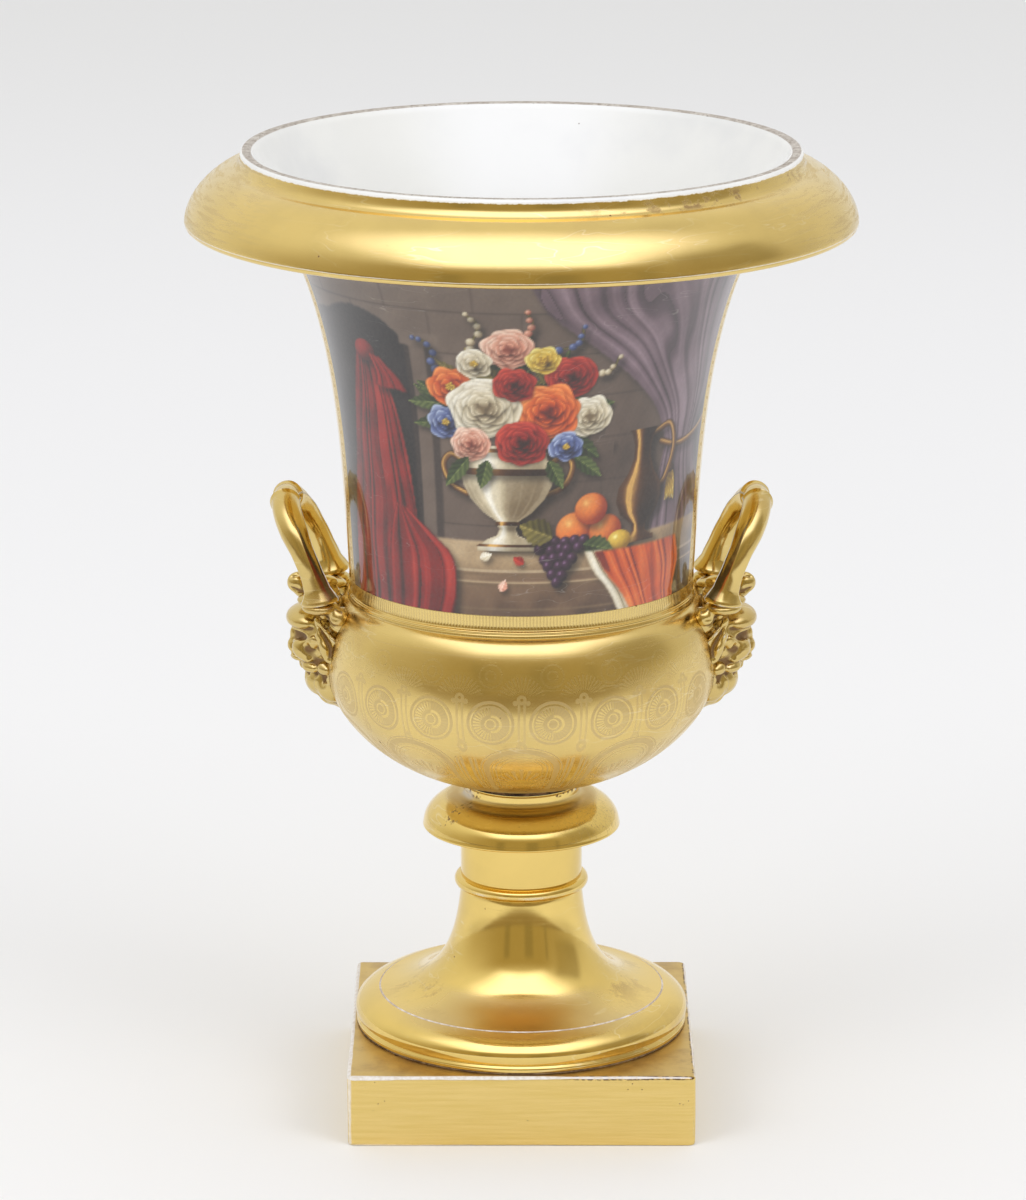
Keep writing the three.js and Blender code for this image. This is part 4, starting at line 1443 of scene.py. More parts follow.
def rounded_square(half, corner, z, along=14, round_steps=5):
    """Points round a square with rounded corners, from the middle of its right side."""
    flat = half - corner
    quarter = [(half, y) for y in np.linspace(-flat, flat, along + 1)]
    for angle in np.linspace(0, math.pi / 2, round_steps + 1)[1:-1]:
        quarter.append((flat + corner * math.cos(angle), flat + corner * math.sin(angle)))
    points = []
    for quarter_turn in range(4):
        turned = Matrix.Rotation(quarter_turn * math.pi / 2, 2)
        points.extend(turned @ Vector(point) for point in quarter)
    return [(point.x, point.y, z) for point in points]


def on_circle(square, radius, z):
    """The same points drawn in to a circle."""
    drawn = []
    for x, y, _ in square:
        length = math.hypot(x, y)
        drawn.append((x * radius / length, y * radius / length, z))
    return drawn


class VASE_OT_plinth(bpy.types.Operator):
    """Makes the square hollow plinth with its softened, worn arrises"""

    bl_idname = "vase.plinth"
    bl_label = "Plinth"

    def execute(self, context):
        half = plinth_side / 2
        top = plinth_top
        ceiling = top - FIRED_WALL
        inner = half - FIRED_WALL
        hollow_corner, corner, arris = 2.5, 2.7, 1.3
        rings = [on_circle(rounded_square(inner, hollow_corner, 0), BOLT_HOLE, ceiling)]
        for share in (0.25, 0.5, 0.75):
            rings.append(rounded_square(inner * share, hollow_corner * share, ceiling))
        rings += [rounded_square(inner - 2, 2, ceiling), rounded_square(inner - 0.6, 2.3, ceiling - 0.6)]
        rings += [rounded_square(inner, hollow_corner, z) for z in (ceiling - 2, ceiling - 10, 6, 0.8)]
        rings += [rounded_square(reach, hollow_corner, 0) for reach in (inner + 0.8, half - 0.8)]
        rings.append(rounded_square(half - 0.2, 2.6, 0.3))
        rings += [rounded_square(half, corner, z) for z in (1, *np.linspace(3, top - 3, 9))]
        for angle in (0, 22, 45, 68, 90):
            turned = math.radians(angle)
            inset = arris * (1 - math.cos(turned))
            rings.append(rounded_square(half - inset, corner, top - arris + arris * math.sin(turned)))
        for share in (0.9, 0.72, 0.5, 0.25):
            rings.append(rounded_square(half * share, corner * share, top))
        rings.append(on_circle(rounded_square(half, hollow_corner, 0), BOLT_HOLE, top))
        plinth = loft("plinth_hollow_block", rings, around=True)
        wobble(plinth, 0.00022, 18)
        spots = places(plinth)
        spots[:, 2] = spots[:, 2].clip(0, plinth_top * MM)
        put(plinth, spots)
        plinth.data.materials.append(plinth_gold().material)
        plinth.data.materials.append(white_glaze("plinth_inside").material)
        for face in plinth.data.polygons:
            across = max(abs(face.center.x), abs(face.center.y)) / MM
            inside = across < inner + 0.5 and face.center.z / MM < top - 1
            face.material_index = 1 if inside else 0
        finish_mesh(plinth, sharp=50)
        settle(plinth, "gilded_porcelain", "plinth")
        return {"FINISHED"}


def wobble(piece, amount, scale):
    """Moves the skin a little along its normals, as hand-finished work is."""
    spots = places(piece)
    waves = np.zeros(len(spots))
    for *heading, phase in ((1, 0.6, 0.3, 0), (-0.5, 1.1, 0.8, 2), (0.7, -0.9, 1.2, 4), (1.3, 0.4, -1, 1)):
        waves += np.sin(spots @ np.array(heading) * scale * TURN + phase)
    put(piece, spots + normals_of(piece) * (waves * amount / 4)[:, None])


def plinth_gold():
    """Brushed gold with white arrises where the gold has rubbed off, dark specks and a brown tinge on top."""
    half = plinth_side / 2 * MM
    top = plinth_top * MM
    gold = Shader("plinth_gold", metallic=1.0)
    x, y, z = gold.axes()
    gap_x = half - abs(x)
    gap_y = half - abs(y)
    gap_top = top - z
    gap_side = gap_x.low(gap_y)
    wave = gold.noise(70.0, 4.0, 0.65)
    chips = gold.noise(420.0, 3.0, 0.7)
    ragged = (wave - 0.5) * 0.001 + (chips - 0.5) * 0.0003 + x * 0.0055
    upper = span(gap_side, gap_top) + ragged
    upright = span(gap_x, gap_y) + ragged
    lower = span(gap_side, z) + ragged
    worn = 1.0 - upper.rise(0.0009, 0.0014)
    worn = worn.high((1.0 - upright.rise(0.0008, 0.0016)) * 0.75)
    worn = worn.high((1.0 - lower.rise(0.0002, 0.0007)) * 0.4)
    grime = upper.within(0.0007, 0.0018, 0.0003) * x.rise(0.015, 0.03) * chips.rise(0.45, 0.55)
    brushed = gold.noise(26.0, 5.0, 0.7, gold.stretch(1.0, 1.0, 26.0))
    crossed = gold.noise(30.0, 5.0, 0.7, gold.stretch(14.0, 1.0, 1.0))
    flat = 1.0 - gap_top.rise(0.0002, 0.0008)
    specks = (1.0 - gold.dots(330.0).rise(0.05, 0.12)) * gold.noise(60.0, 2.0).rise(0.56, 0.64)
    rubbed = gold.noise(34.0, 5.0, 0.65).rise(0.42, 0.72)
    tone = gold.mix(brushed.rise(0.3, 0.7), (0.8, 0.59, 0.19), (0.88, 0.67, 0.26))
    tone = gold.mix(flat * (0.35 + rubbed * 0.55), tone, (0.46, 0.3, 0.13))
    dot = span(x + 0.0545, y + 0.0485).under(0.0014, 0.0004) * flat
    tone = gold.mix(grime.high(dot) * 0.9, tone, (0.12, 0.06, 0.03))
    tone = gold.mix(specks, tone, (0.2, 0.12, 0.06))
    tone = gold.mix(worn, tone, gold.mix(chips.rise(0.35, 0.6), (0.72, 0.66, 0.58), (0.84, 0.81, 0.77)))
    rough = 0.2 + brushed * 0.1 + crossed * flat * 0.12 + flat * 0.1 + worn * 0.2
    gold.set(base_color=tone, metallic=1.0 - worn.high(specks * 0.8), roughness=rough.low(0.9))
    gold.bump(brushed * 0.35 + wave * 0.2 + chips * 0.12 - specks * 0.4 - worn * 0.5, 0.00022, 0.5)
    return gold


# Handles and masks share a frame: x outwards from the vase's axis, y along the bowl, z up


HANDLE_TURN = math.radians(3)
HANDLE_SPREAD = 26.5
HANDLE_FOOT_Z = 231.6
HANDLE_SPRING_Z = 246.5
HANDLE_APEX_Z = 271.8
# A branch's half widths outwards and in the loop's plane, by the way from its foot along it
BRANCH_WAY = (0, 0.9, 2.4, 6, 13, 24, 33, 40)
BRANCH_WIDE = (8.2, 8.8, 7.9, 6.1, 5.25, 5.2, 6.0, 6.1)
BRANCH_DEEP = (8.0, 8.5, 7.7, 6.2, 5.5, 5.6, 6.2, 6.1)
# The section's corners and the seam, in degrees round the branch
SEAM_TURN = 284
SECTION_CORNERS = (-76, -14, 62, 128, 212, SEAM_TURN)
# The two rings that bind the loop's middle, by the way from its apex
RING_WAY = 5.6


def handle_reach(z):
    """Distance of the handle's middle line from the vase's axis at a height."""
    corners = ((86.4, HANDLE_FOOT_Z), (88.8, 245.5), (98.3, 261), (103.4, HANDLE_APEX_Z))
    line = np.array([cubic([Vector(corner) for corner in corners], t) for t in np.linspace(0, 1, 60)])
    return float(np.interp(z, line[:, 1], line[:, 0]))


def handle_route():
    """Points up one branch, over the arch and down the other."""
    up = [(-HANDLE_SPREAD, z) for z in np.linspace(HANDLE_FOOT_Z, HANDLE_SPRING_Z, 16)[:-1]]
    arch = []
    rise = HANDLE_APEX_Z - HANDLE_SPRING_Z
    for angle in np.linspace(0, math.pi, 73):
        arch.append((-HANDLE_SPREAD * math.cos(angle), HANDLE_SPRING_Z + rise * math.sin(angle)))
    down = [(-y, z) for y, z in reversed(up)]
    return [Vector((handle_reach(z), y, z)) for y, z in up + arch + down]


def handle_section(angle, soft):
    """Radius of the section, with softened corners and flat sides. soft is 0 for flats and 1 for a circle."""
    degrees = math.degrees(angle)
    if degrees > SEAM_TURN:
        degrees -= 360
    sides = zip(SECTION_CORNERS, SECTION_CORNERS[1:])
    low, high = next(side for side in sides if side[0] <= degrees <= side[1])
    middle = (low + high) / 2
    chord = math.cos(math.radians((high - low) / 2)) / math.cos(math.radians(degrees - middle))
    return 1 + (1 - soft) * 0.75 * (chord - 1)


class VASE_OT_handles(bpy.types.Operator):
    """Sweeps the upright loop handles with their flats, seam and bound middles"""

    bl_idname = "vase.handles"
    bl_label = "Handles"

    def execute(self, context):
        route = handle_route()
        lengths = [0.0]
        for here, there in zip(route, route[1:]):
            lengths.append(lengths[-1] + (there - here).length)
        whole = lengths[-1]
        sides = 72
        rings = []
        seam = []
        for index, point in enumerate(route):
            ahead = (route[min(index + 1, len(route) - 1)] - route[max(index - 1, 0)]).normalized()
            centre = Vector((point.x, 0, HANDLE_SPRING_Z - 6))
            away = point - centre
            away.x = 0
            away = (away - ahead * away.dot(ahead)).normalized()
            out = ahead.cross(away)
            if out.x < 0:
                out.negate()
            from_end = min(lengths[index], whole - lengths[index])
            from_top = abs(lengths[index] - whole / 2)
            wide = np.interp(from_end, BRANCH_WAY, BRANCH_WIDE)
            deep = np.interp(from_end, BRANCH_WAY, BRANCH_DEEP)
            bead = 0.75 * bell(from_top - RING_WAY, 0.75) - 0.5 * (from_top < RING_WAY - 0.4)
            soft = float(np.interp(from_end, (0, 4, 20, 32, 40), (0.8, 0.45, 0.3, 0.75, 0.95)))
            ring = []
            for step in range(sides):
                angle = TURN * step / sides
                from_seam = (math.degrees(angle) - SEAM_TURN + 180) % 360 - 180
                ridge = bell(from_seam, 5)
                size = handle_section(angle, soft) + ridge * 0.07
                across = away * math.cos(angle) * (deep + bead) * size
                ring.append(point + across + out * math.sin(angle) * (wide + bead) * size)
                seam.append(max(ridge * 0.95, bell(from_top - RING_WAY, 0.6) * 0.62))
            rings.append(ring)
        right = loft("handle_loop_right", rings)
        put(right, set_back(places(right)))
        store(right, "seam", seam)
        finish_mesh(right, sharp=60)
        mark_edges(right, 14)
        right.data.materials.append(handle_gold().material)
        left = mirrored(right, "handle_loop_left")
        settle(right, "gilded_porcelain", "handle_right")
        settle(left, "gilded_porcelain", "handle_left")
        return {"FINISHED"}


def set_back(spots):
    """Turns points a little towards the vase's back."""
    return spots @ np.array(Matrix.Rotation(HANDLE_TURN, 3, "Z")).T


def handle_gold():
    """Gold that is rubbed along the seam and the ridges."""
    gold = Shader("handle_gold")
    patches = gold.noise(90.0, 4.0, 0.65)
    rubbed = (gold.attribute("seam") + (patches - 0.5) * 0.6).rise(0.45, 0.7)
    ridges = (gold.attribute("edge") + (patches - 0.5) * 0.5).rise(0.97, 1.08)
    return gilding(gold, 0.14, wear=rubbed.high(ridges * 0.7), tarnish=0.6, body=True, shade=0.9)


def mask_balls():
    """The satyr's head as overlapping ellipsoids."""
    middle = [
        # skull, forehead, nose, lips and chin
        ((85, 0, 211), (14.5, 19, 18), 0),
        ((92.8, 0, 218.3), (11.4, 16.5, 5.9), 0),
        ((99, 0, 210.4), (3.6, 2.8, 4.6), -10),
        ((99.8, 0, 205), (4.0, 3.9, 3.9), 0),
        ((96.6, 0, 200), (4.8, 6, 2.8), 0),
        ((94.6, 0, 196), (4.0, 5.2, 2.4), 0),
        # beard
        ((87.6, 0, 190.4), (8.6, 11, 8.4), 0),
        ((82.6, 0, 184.6), (8.0, 9.5, 7), 0),
        ((79, 0, 180.6), (5, 6.4, 4.6), 0),
        # crown and crest between the handle's feet
        ((90, 0, 229.4), (10.5, 10, 3.4), 0),
        ((98.2, 0, 233.4), (5.4, 4.6, 5), 0),
        ((88, 0, 233.6), (7.5, 5.5, 3.6), 0),
    ]
    sides = [
        ((92.2, 9.8, 206.6), (8.6, 7.6, 6.6), 0),
        ((88, 15, 209), (6, 6, 6), 0),
        ((91, 11, 198.4), (5.4, 5.4, 3), 0),
        ((84.6, 17.4, 199.2), (4.6, 4, 3.4), 0),
        ((82.6, 10.4, 190), (7.4, 6.6, 8.4), 0),
        ((80.6, 14.6, 195.4), (6, 5.6, 6.4), 0),
        ((77, 7.6, 182.6), (4.6, 5, 5.4), 0),
        # ear, from its point down to the lobe
        ((87.3, 23.8, 220.4), (1.9, 1.8, 3.4), 22),
        ((85.2, 24, 216.2), (3.4, 2.3, 4.4), 24),
        ((82.2, 24.4, 211.2), (5.2, 2.8, 5.2), 18),
        ((80.8, 23.2, 206.6), (5.2, 3.2, 4.4), 0),
        # hair beside the ear
        ((77, 24, 222.6), (6.4, 5.6, 6.4), 0),
        ((78, 28.6, 225.6), (4.5, 4.5, 4.3), 0),
        ((84.6, 24.6, 225.6), (3.0, 3.0, 2.8), 0),
        # crown under the handle's foot
        ((86.4, 26.5, 229.4), (8.4, 7.8, 3.2), 0),
        ((88, 14, 229.4), (10, 9, 3.2), 0),
    ]
    balls = list(middle)
    for centre, radii, lean in sides:
        for hand in (-1, 1):
            balls.append(((centre[0], hand * centre[1], centre[2]), radii, lean))
    return balls


def mask_strokes():
    """Strokes that raise or carve the skin: route, width and height in millimetres, for half a face."""
    return [
        # grooves over and under the forehead
        ([(104, 0, 226), (98, 11, 226.2), (90, 19.4, 226), (84, 24, 222.4)], 1.7, -2.4),
        ([(104.4, 0, 214.4), (100, 8.6, 215.2), (93.4, 14.6, 216.2), (88.4, 19.6, 218)], 1.0, -0.9),
        ([(105, 0, 222.4), (104.6, 0, 216.6)], 0.7, -0.6),
        # brow, eye and lids
        ([(103, 2, 213), (100.8, 6.4, 214.6), (96.4, 11, 215), (92, 14.6, 213.6)], 1.1, 1.5),
        ([(99.8, 6, 211.6), (97.4, 9.6, 212), (94.6, 12.6, 211.6)], 1.8, -2.9),
        ([(97.6, 9, 211.8), (96.8, 10.4, 211.8)], 1.0, 0.9),
        ([(101, 4.6, 208.8), (98, 9.4, 208.6), (93.6, 13.6, 209.6)], 0.9, 1.4),
        # wing of the nose, fold beside it, hollow and bone of the cheek
        ([(102, 3.4, 203.2), (100, 4.6, 203)], 1.2, 0.8),
        ([(100, 5.4, 206), (97, 7.4, 202.8), (92.6, 12, 201.2)], 1.0, -1.8),
        ([(92.6, 15.6, 207.4), (90.2, 18, 206.6), (88.4, 19.6, 208.4)], 2.7, -3.8),
        ([(96, 13, 209.2), (91.4, 17, 211.6), (89, 20, 214.4)], 1.1, 1.0),
        ([(94, 14, 202.4), (89, 18.6, 202), (85.6, 21, 203.6)], 1.1, 1.3),
        # mouth, moustache and the curls at its end
        ([(101, 0, 198), (98, 4.6, 197.2)], 1.0, -2.2),
        ([(101, 2, 200.6), (96.6, 8.4, 200), (92, 13, 198.6)], 1.1, 1.4),
        ([(92, 13.4, 198.4), (90.6, 15, 198.2)], 1.4, 1.5),
        ([(86, 18.6, 199.4), (84.4, 19.8, 199)], 1.5, 1.5),
        ([(88.6, 17.4, 200), (87.6, 17.4, 196.8)], 0.7, -1.5),
        ([(99.4, 2, 197), (95, 8, 196), (90, 13.6, 195.2), (85, 17.6, 195.8)], 1.1, -2.3),
        # beard: chin, carved leaf with its rim, and long locks
        ([(97.6, 0, 193.8), (94, 6, 193.4)], 0.9, -1.3),
        ([(86.4, 14.6, 193), (86, 13, 190), (84.6, 11.6, 186.4)], 2.0, -3.0),
        ([(84.6, 14, 191), (84.4, 12.6, 188.2)], 0.8, 1.4),
        ([(90, 12.2, 193.6), (89.6, 10.4, 189.4), (87.2, 9.6, 185)], 1.1, 1.1),
        ([(80.4, 16.6, 192.6), (79.6, 13.4, 186)], 1.2, -1.6),
        ([(95, 3.6, 191.4), (92, 5.6, 186.4), (86.4, 5.4, 180.6)], 0.8, -1.0),
        ([(80, 9.6, 182.6), (77.6, 6.4, 179)], 0.9, -1.0),
        # ear: its bowl, its outer and inner rims
        ([(87.4, 25.2, 219), (84.8, 26.4, 214.8), (82.4, 26.6, 210.4), (82.6, 25, 206.4)], 1.3, -2.5),
        ([(88.2, 24.4, 222.8), (84.8, 25.6, 219), (81, 26.2, 214.4), (78, 25.6, 209.4), (79.2, 23.8, 204.4)],
         0.8, 1.6),
        ([(89.4, 22.4, 217.6), (87, 24, 213.4), (85.8, 24, 208.6), (84, 22.6, 204.6)], 0.7, 1.4),
        ([(90.6, 20.4, 216), (89, 21.4, 211.6), (88, 21.4, 206.6)], 1.0, -2.2),
        # hair
        ([(73, 31, 222), (78, 31.4, 220.8), (82.4, 28, 221.6), (82.4, 26.8, 226)], 1.0, -2.4),
        ([(74, 33, 226), (78, 33.4, 225.4), (82, 31, 225.4)], 0.4, -0.8),
        ([(79, 25.6, 204), (81, 21, 201.4)], 1.3, -2.0),
        # crest
        ([(102, 3, 231), (98, 5.4, 231.4), (92, 6.6, 232)], 0.9, -1.6),
        ([(101, 2.4, 236.6), (96, 3, 237.6), (90, 4, 236.6)], 0.7, -1.0),
    ]


class VASE_OT_masks(bpy.types.Operator):
    """Models the satyr masks and sets them on the bowl"""

    bl_idname = "vase.masks"
    bl_label = "Masks"

    def execute(self, context):
        mask = lumps("satyr_mask_right", mask_balls())
        fuse(mask, 0.55)
        near = Neighbours(mask)
        put(mask, near.smooth(places(mask), 14))
        for route, width, height in mask_strokes():
            spots = places(mask) / MM
            folded = np.stack([spots[:, 0], np.abs(spots[:, 1]), spots[:, 2]], axis=1)
            push = height * bell(gap_to(folded, smooth_route(route)), width)
            put(mask, (spots + normals_of(mask) * push[:, None]) * MM)
        put(mask, near.smooth(places(mask), 2))
        put(mask, set_back(places(mask)))
        mark_edges(mask, 18)
        mark_edges(mask, 110, "depth")
        put(mask, stand_off(context.scene.vase_sizes, places(mask)))
        finish_mesh(mask, merge=0.0000001, sharp=80)
        mask.data.materials.append(mask_gold().material)
        left = mirrored(mask, "satyr_mask_left")
        settle(mask, "gilded_porcelain", "mask_right")
        settle(left, "gilded_porcelain", "mask_left")
        return {"FINISHED"}


# Points of the body's outline from its underside to the neck's middle
OUTER_POINTS = 110


def stand_off(sizes, spots):
    """Moves points that lie inside the body out to its skin."""
    outline = np.array(body_outline(sizes).points[:OUTER_POINTS]) * MM
    skin = np.interp(spots[:, 2], outline[:, 1], outline[:, 0]) + 0.00005
    radii = np.hypot(spots[:, 0], spots[:, 1])
    grown = np.maximum(radii, skin) / np.maximum(radii, 1e-9)
    return spots * np.stack([grown, grown, np.ones(len(spots))], axis=1)


def mask_gold():
    """Gold that is rubbed on the ridges and dark brown in the hollows, partly dirt and partly painted shade,
    with a darker tone of painted shade all over.
    """
    gold = Shader("mask_gold")
    patches = gold.noise(120.0, 4.0, 0.65)
    edge = gold.attribute("edge")
    wear = (edge + (patches - 0.5) * 0.35).rise(0.99, 1.1)
    # Darker in the hollows: partly dirt, partly painted shade. The large deep recesses get painted shade.
    stain_and_shade = 1.0 - (edge + (patches - 0.5) * 0.3).rise(0.12, 0.42)
    stain_and_shade = stain_and_shade.high(1.0 - (gold.attribute("depth") + (patches - 0.5) * 0.3).rise(0.18, 0.52))
    return gilding(gold, 0.15, wear=wear * 0.8, stain_and_shade=stain_and_shade * 0.95, tarnish=0.6, body=True, shade=0.86)


# Beddings and bolt


class VASE_OT_beddings(bpy.types.Operator):
    """Lays the plaster rings in the two joints"""

    bl_idname = "vase.beddings"
    bl_label = "Beddings"

    def execute(self, context):
        low, high = ends_of("bowl_bedding")
        radius = radius_of("bowl_bedding")
        line = Outline(7, low)
        line.line((radius - 1.2, low), (radius - 0.3, low + 0.3))
        line.arc((radius - 0.4, (low + high) / 2), (high - low) / 2 - 0.35, -70, 70, 5)
        line.line((radius - 0.9, high), (7, high))
        bowl = turn("bedding_under_bowl", line, 160)
        inner, outer = foot_radius - 5.5, radius_of("foot_bedding")
        line = Outline(inner, plinth_top)
        line.line((outer - 0.3, plinth_top), (outer, plinth_top + 0.3), (outer - 0.3, foot_bottom))
        line.line((inner, foot_bottom))
        foot = turn("bedding_under_foot", line, 160)
        stained = plaster("stained_plaster", (0.03, 0.014, 0.006), (0.2, 0.12, 0.06)).material
        pale = plaster("old_plaster", (0.12, 0.065, 0.03), (0.3, 0.2, 0.1)).material
        for piece, node, finish in ((bowl, "bowl_bedding", stained), (foot, "foot_bedding", pale)):
            wobble(piece, 0.0003, 160)
            piece.data.materials.append(finish)
            settle(piece, "plaster", node)
        return {"FINISHED"}


def plaster(name, dark, light):
    """Matt plaster with grains and dirt."""
    made = Shader(name, roughness=0.92)
    grains = made.noise(500.0, 4.0, 0.7)
    dirt = made.noise(90.0, 4.0, 0.65)
    made.set(base_color=made.mix((grains * 0.6 + dirt * 0.4).rise(0.4, 0.62), dark, light))
    made.bump(grains, 0.0004, 0.8)
    return made


def ring_of(radius, z, steps=72):
    """Points round the axis at one height. radius is a number, or a function of the angle."""
    points = []
    for step in range(steps):
        angle = TURN * step / steps
        reach = radius(angle) if callable(radius) else radius
        points.append((reach * math.cos(angle), reach * math.sin(angle), z))
    return points


def hexagon_ring(across, chamfer, z):
    """Points round a nut. chamfer cuts its corners near the ends."""

    def radius(angle):
        face = (angle + math.pi / 6) % (math.pi / 3) - math.pi / 6
        return min(across / 2 / math.cos(face), across / math.sqrt(3) - chamfer)

    return ring_of(radius, z)


class VASE_OT_bolt(bpy.types.Operator):
    """Makes the threaded rod with its nuts, washers and leather gaskets"""

    bl_idname = "vase.bolt"
    bl_label = "Bolt"

    def execute(self, context):
        iron = metal("old_iron", (0.12, 0.1, 0.09), (0.3, 0.13, 0.05), 0.5)
        brass = metal("old_brass", (0.52, 0.38, 0.15), (0.22, 0.15, 0.06), 0.34)
        hide = leather()
        self.rod(iron)
        for node, finish in (("bowl_nut", brass), ("foot_nut", iron)):
            self.nut(node, finish)
        discs = (("bowl_washer", "brass", brass), ("foot_washer", "iron", iron))
        discs += (("bowl_gasket", "leather", hide), ("foot_gasket", "leather", hide))
        for node, slot, finish in discs:
            self.disc(node, slot, finish)
        return {"FINISHED"}

    def rod(self, finish):
        low, high = ends_of("tie_rod")
        pitch = 1.25
        threaded = 26
        point, core, ridge, shank = 2.9, 3.3, 0.65, 3.95

        def thread(z):
            return lambda angle: core + ridge * abs(((z / pitch - angle / TURN) % 1) - 0.5) * 2

        rings = [ring_of(point, low, 24)]
        for z in np.arange(low + 0.5, high - 0.5, pitch / 4):
            from_end = min(z - low, high - z)
            if from_end <= threaded + 3:
                rings.append(ring_of(shank if from_end > threaded else thread(z), z, 24))
        rings.append(ring_of(point, high, 24))
        rod = loft("tie_rod_threaded", rings)
        rod.data.materials.append(finish.material)
        finish_mesh(rod, sharp=25)
        settle(rod, "iron", "tie_rod")

    def nut(self, node, finish):
        low, high = ends_of(node)
        across, bore = 13, 4.15
        tall = high - low
        rows = [(0.9, 0), (0.15, 0.45), (0, 0.9), (0, tall - 0.9), (0.15, tall - 0.45), (0.9, tall)]
        rings = [ring_of(bore + 0.45, low)] + [hexagon_ring(across, chamfer, low + z) for chamfer, z in rows]
        rings += [ring_of(bore + 0.45, high), ring_of(bore, high - 0.5), ring_of(bore, low + 0.5)]
        nut = loft(node + "_hexagon", rings, around=True)
        nut.data.materials.append(finish.material)
        finish_mesh(nut, sharp=25)
        settle(nut, "brass" if node == "bowl_nut" else "iron", node)

    def disc(self, node, slot, finish):
        low, high = ends_of(node)
        radius = radius_of(node)
        soft, bore = 0.35, 4.5
        line = Outline(bore, low)
        line.line((radius - soft, low), (radius, low + soft))
        line.line((radius, high - soft), (radius - soft, high), (bore, high))
        disc = turn(node + "_disc", line, 96)
        if slot == "leather":
            wobble(disc, 0.0003, 60)
        disc.data.materials.append(finish.material)
        settle(disc, slot, node)


def metal(name, clean, dirty, roughness):
    """Plain metal with tarnish or rust in patches."""
    made = Shader(name, metallic=1.0)
    patches = made.noise(140.0, 5.0, 0.7)
    grit = made.noise(900.0, 3.0, 0.6)
    dull = (patches + (grit - 0.5) * 0.3).rise(0.42, 0.6)
    tone = made.mix(dull, clean, dirty)
    made.set(base_color=tone, metallic=1.0 - dull * 0.7, roughness=roughness + dull * 0.35)
    made.bump(grit * 0.6 + dull * 0.4, 0.0002, 0.6)
    return made


def leather():
    """Dry sole leather with dark pores and uneven tone."""
    made = Shader("sole_leather", roughness=0.8)
    pores = made.dots(1100.0).rise(0.1, 0.5)
    dirt = made.noise(150.0, 4.0, 0.6)
    tone = made.mix(dirt.rise(0.35, 0.65), (0.2, 0.11, 0.055), (0.36, 0.22, 0.11))
    made.set(base_color=made.mix(pores, made.mix(0.5, tone, (0.06, 0.035, 0.02)), tone))
    made.bump(pores * 0.6 + dirt * 0.4, 0.0003, 0.6)
    return made


# Studio


FLOOR_MIDDLE = 1.5
FLOOR_END = -0.8


class VASE_OT_studio(bpy.types.Operator):
    """Lays the pale floor, hangs the soft lights and sets the camera"""

    bl_idname = "vase.studio"
    bl_label = "Studio"

    def execute(self, context):
        floor = begin("floor", bpy.ops.mesh.primitive_plane_add, size=9, location=(0, FLOOR_MIDDLE, 0))
        floor.data.materials.append(floor_finish().material)
        for name, side in (("key_left", -1.6), ("key_right", 1.6)):
            soft_light(name, (side, -1.3, 1.7), (0, 0, 0.25), 1.1, 11)
        pale_world(context.scene)
        place_camera(context.scene)
        context.scene.view_settings.view_transform = "Standard"
        return {"FINISHED"}


def floor_finish():
    """Pale paper, greyer further back as painted shade. Reflections alone see it turn brown in front of the
    vase and at the sides, a painted reflection of a darker room floor.
    """
    paper = Shader("pale_paper", roughness=0.6, specular_ior_level=0.1)
    x, y, _ = paper.axes()
    # Greyer further back: painted shade, as if less light reached the far paper
    clean = paper.mix(y.rise(-0.3, 2.1), (0.905, 0.905, 0.9), (0.81, 0.81, 0.79))
    seen = paper.node("ShaderNodeLightPath").shader_output("Is Glossy Ray")
    # Painted reflection: glossy rays alone see brown at the sides and in front of the vase
    aside = abs(x).rise(0.6, 1.2) * y.under(0.3 - FLOOR_MIDDLE, 0.5) * 0.35
    beyond = y.under(FLOOR_END - FLOOR_MIDDLE, 0.1).high(aside) * seen
    paper.set(base_color=paper.mix(beyond, clean, (0.26, 0.2, 0.1)))
    return paper


def soft_light(name, place, target, size, watts):
    """A square lamp that reflections don't see."""
    light = begin(name, bpy.ops.object.light_add, type="AREA", location=place)
    light.data.shape = "RECTANGLE"
    light.data.size = light.data.size_y = size
    light.data.energy = watts
    light.rotation_euler = (Vector(target) - Vector(place)).to_track_quat("-Z", "Y").to_euler()
    light.visible_glossy = False


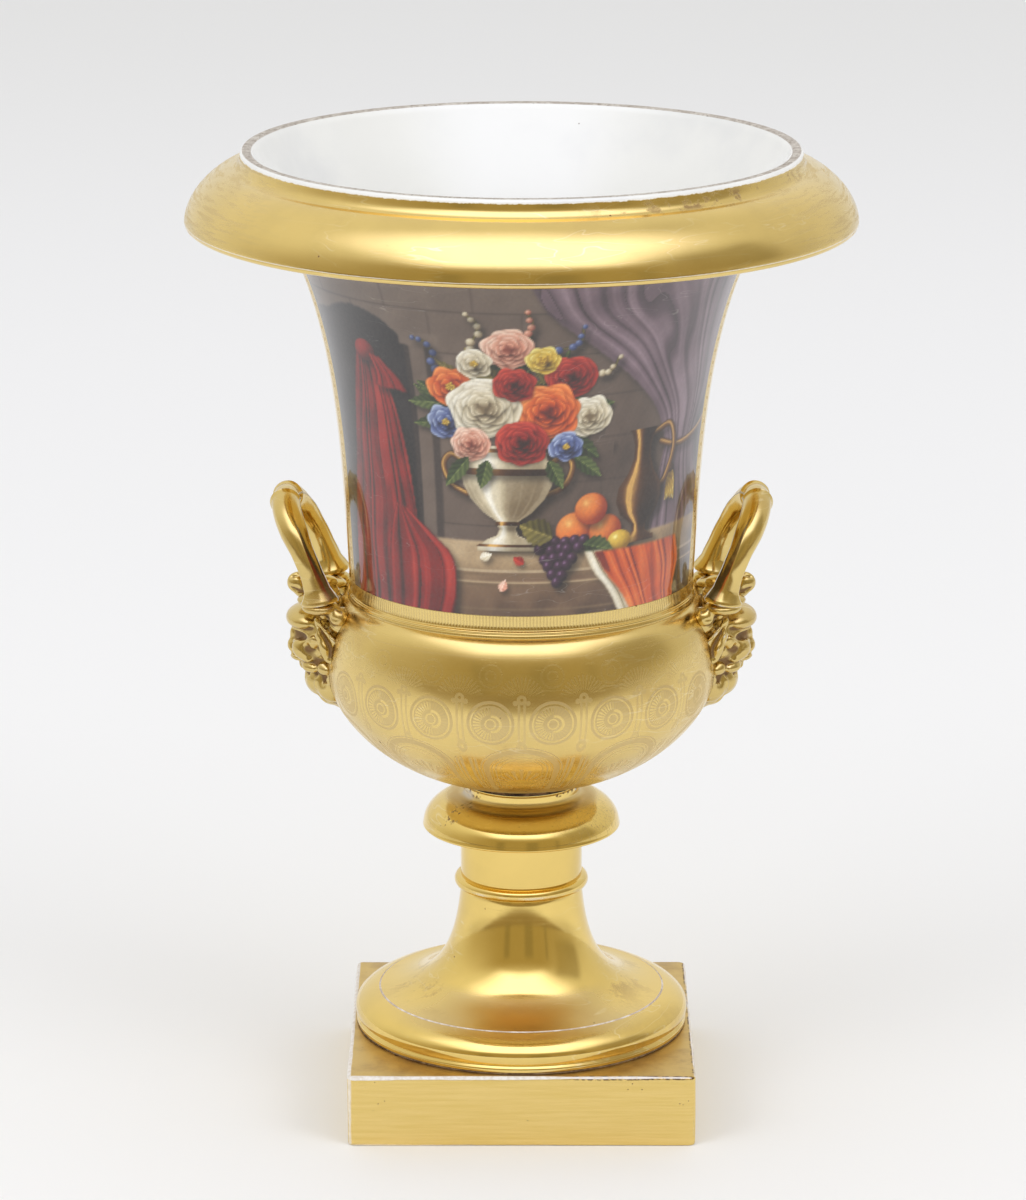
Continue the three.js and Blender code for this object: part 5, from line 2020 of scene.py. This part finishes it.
def pale_world(scene):
    """Even white light. Reflections see a pale backdrop, a brown room behind the camera and a soft lamp."""
    world = bpy.data.worlds.new("pale_room")
    scene.world = world
    world.use_nodes = True
    room = Nodes(world.node_tree)
    place = room.node("ShaderNodeTexCoord").shader_output("Generated")
    split = room.node("ShaderNodeSeparateXYZ", None, {0: place})
    side, front, up = (split.shader_output(axis) for axis in "XYZ")
    azimuth = side.angle(-front)
    ground = room.mix(front.rise(-0.2, 0.7), (0.6, 0.54, 0.4), (0.84, 0.83, 0.79))
    pale = room.mix(up.rise(0.0, 0.7), ground, (0.9, 0.88, 0.82))
    pale = room.mix(azimuth.within(1.0, 1.7, 0.12) * up.within(0.06, 0.6, 0.08) * 0.6, pale, (0.24, 0.2, 0.1))
    pale = room.mix(azimuth.within(0.8, 2.6, 0.3) * 0.2, pale, (0.35, 0.3, 0.2))
    facing = (1.0 - abs(azimuth).rise(0.5, 1.8)) * up.under(0.54, 0.15)
    stands = azimuth.within(0.1, 0.34, 0.06).high(azimuth.within(-0.5, -0.34, 0.05))
    stands = stands.high(azimuth.within(0.7, 0.78, 0.03))
    dark = room.mix(stands * up.under(0.34, 0.06) * 0.3, (0.44, 0.36, 0.19), (0.1, 0.1, 0.06))
    seen = room.mix(facing, pale, dark)
    high = up.high(0.05)
    lamp = (side / high).within(-0.75, 0.75, 0.45) * (front / high).within(-1.25, 0.04, 0.3)
    seen = room.mix(lamp, seen, (2.0, 2.02, 2.45))
    ray = room.node("ShaderNodeLightPath")
    tone = room.mix(ray.shader_output("Is Diffuse Ray"), seen, (0.84, 0.84, 0.84))
    tone = room.mix(ray.shader_output("Is Camera Ray"), tone, (0.81, 0.81, 0.8))
    room.feed(room.tree.nodes["Background"].inputs["Color"], tone)


def place_camera(scene):
    studio = scene.vase_studio
    begin("camera", bpy.ops.object.camera_add, location=(-studio.offset, -studio.distance, studio.height))
    camera = bpy.context.object
    camera.rotation_euler = (math.pi / 2 - studio.pitch, 0, 0)
    camera.data.lens = studio.lens
    camera.data.sensor_width = 36
    camera.data.clip_end = 50
    scene.camera = camera


OPERATORS = (
    VASE_OT_studio,
    VASE_OT_body,
    VASE_OT_panel,
    VASE_OT_pedestal,
    VASE_OT_plinth,
    VASE_OT_handles,
    VASE_OT_masks,
    VASE_OT_beddings,
    VASE_OT_bolt,
)


class VASE_PT_panel(bpy.types.Panel):
    """Lists the vase's operators and settings"""

    bl_label = "Vase"
    bl_idname = "VASE_PT_panel"
    bl_space_type = "VIEW_3D"
    bl_region_type = "UI"
    bl_category = "Vase"

    def draw(self, context):
        for group in (context.scene.vase_sizes, context.scene.vase_finishes, context.scene.vase_studio):
            for name in group.bl_rna.properties.keys():
                if name not in ("rna_type", "name"):
                    self.layout.prop(group, name)
        for made in OPERATORS:
            self.layout.operator(made.bl_idname)


GROUPS = {"vase_sizes": VaseSizes, "vase_finishes": VaseFinishes, "vase_studio": StudioSettings}


def register():
    for group in (*GROUPS.values(), *OPERATORS, VASE_PT_panel):
        bpy.utils.register_class(group)
    for name, group in GROUPS.items():
        setattr(bpy.types.Scene, name, PointerProperty(type=group))


def unregister():
    for name in GROUPS:
        delattr(bpy.types.Scene, name)
    for group in (VASE_PT_panel, *reversed(OPERATORS), *reversed(GROUPS.values())):
        bpy.utils.unregister_class(group)


def main():
    register()
    for made in OPERATORS:
        category, name = made.bl_idname.split(".")
        getattr(getattr(bpy.ops, category), name)()


if __name__ == "__main__":
    main()
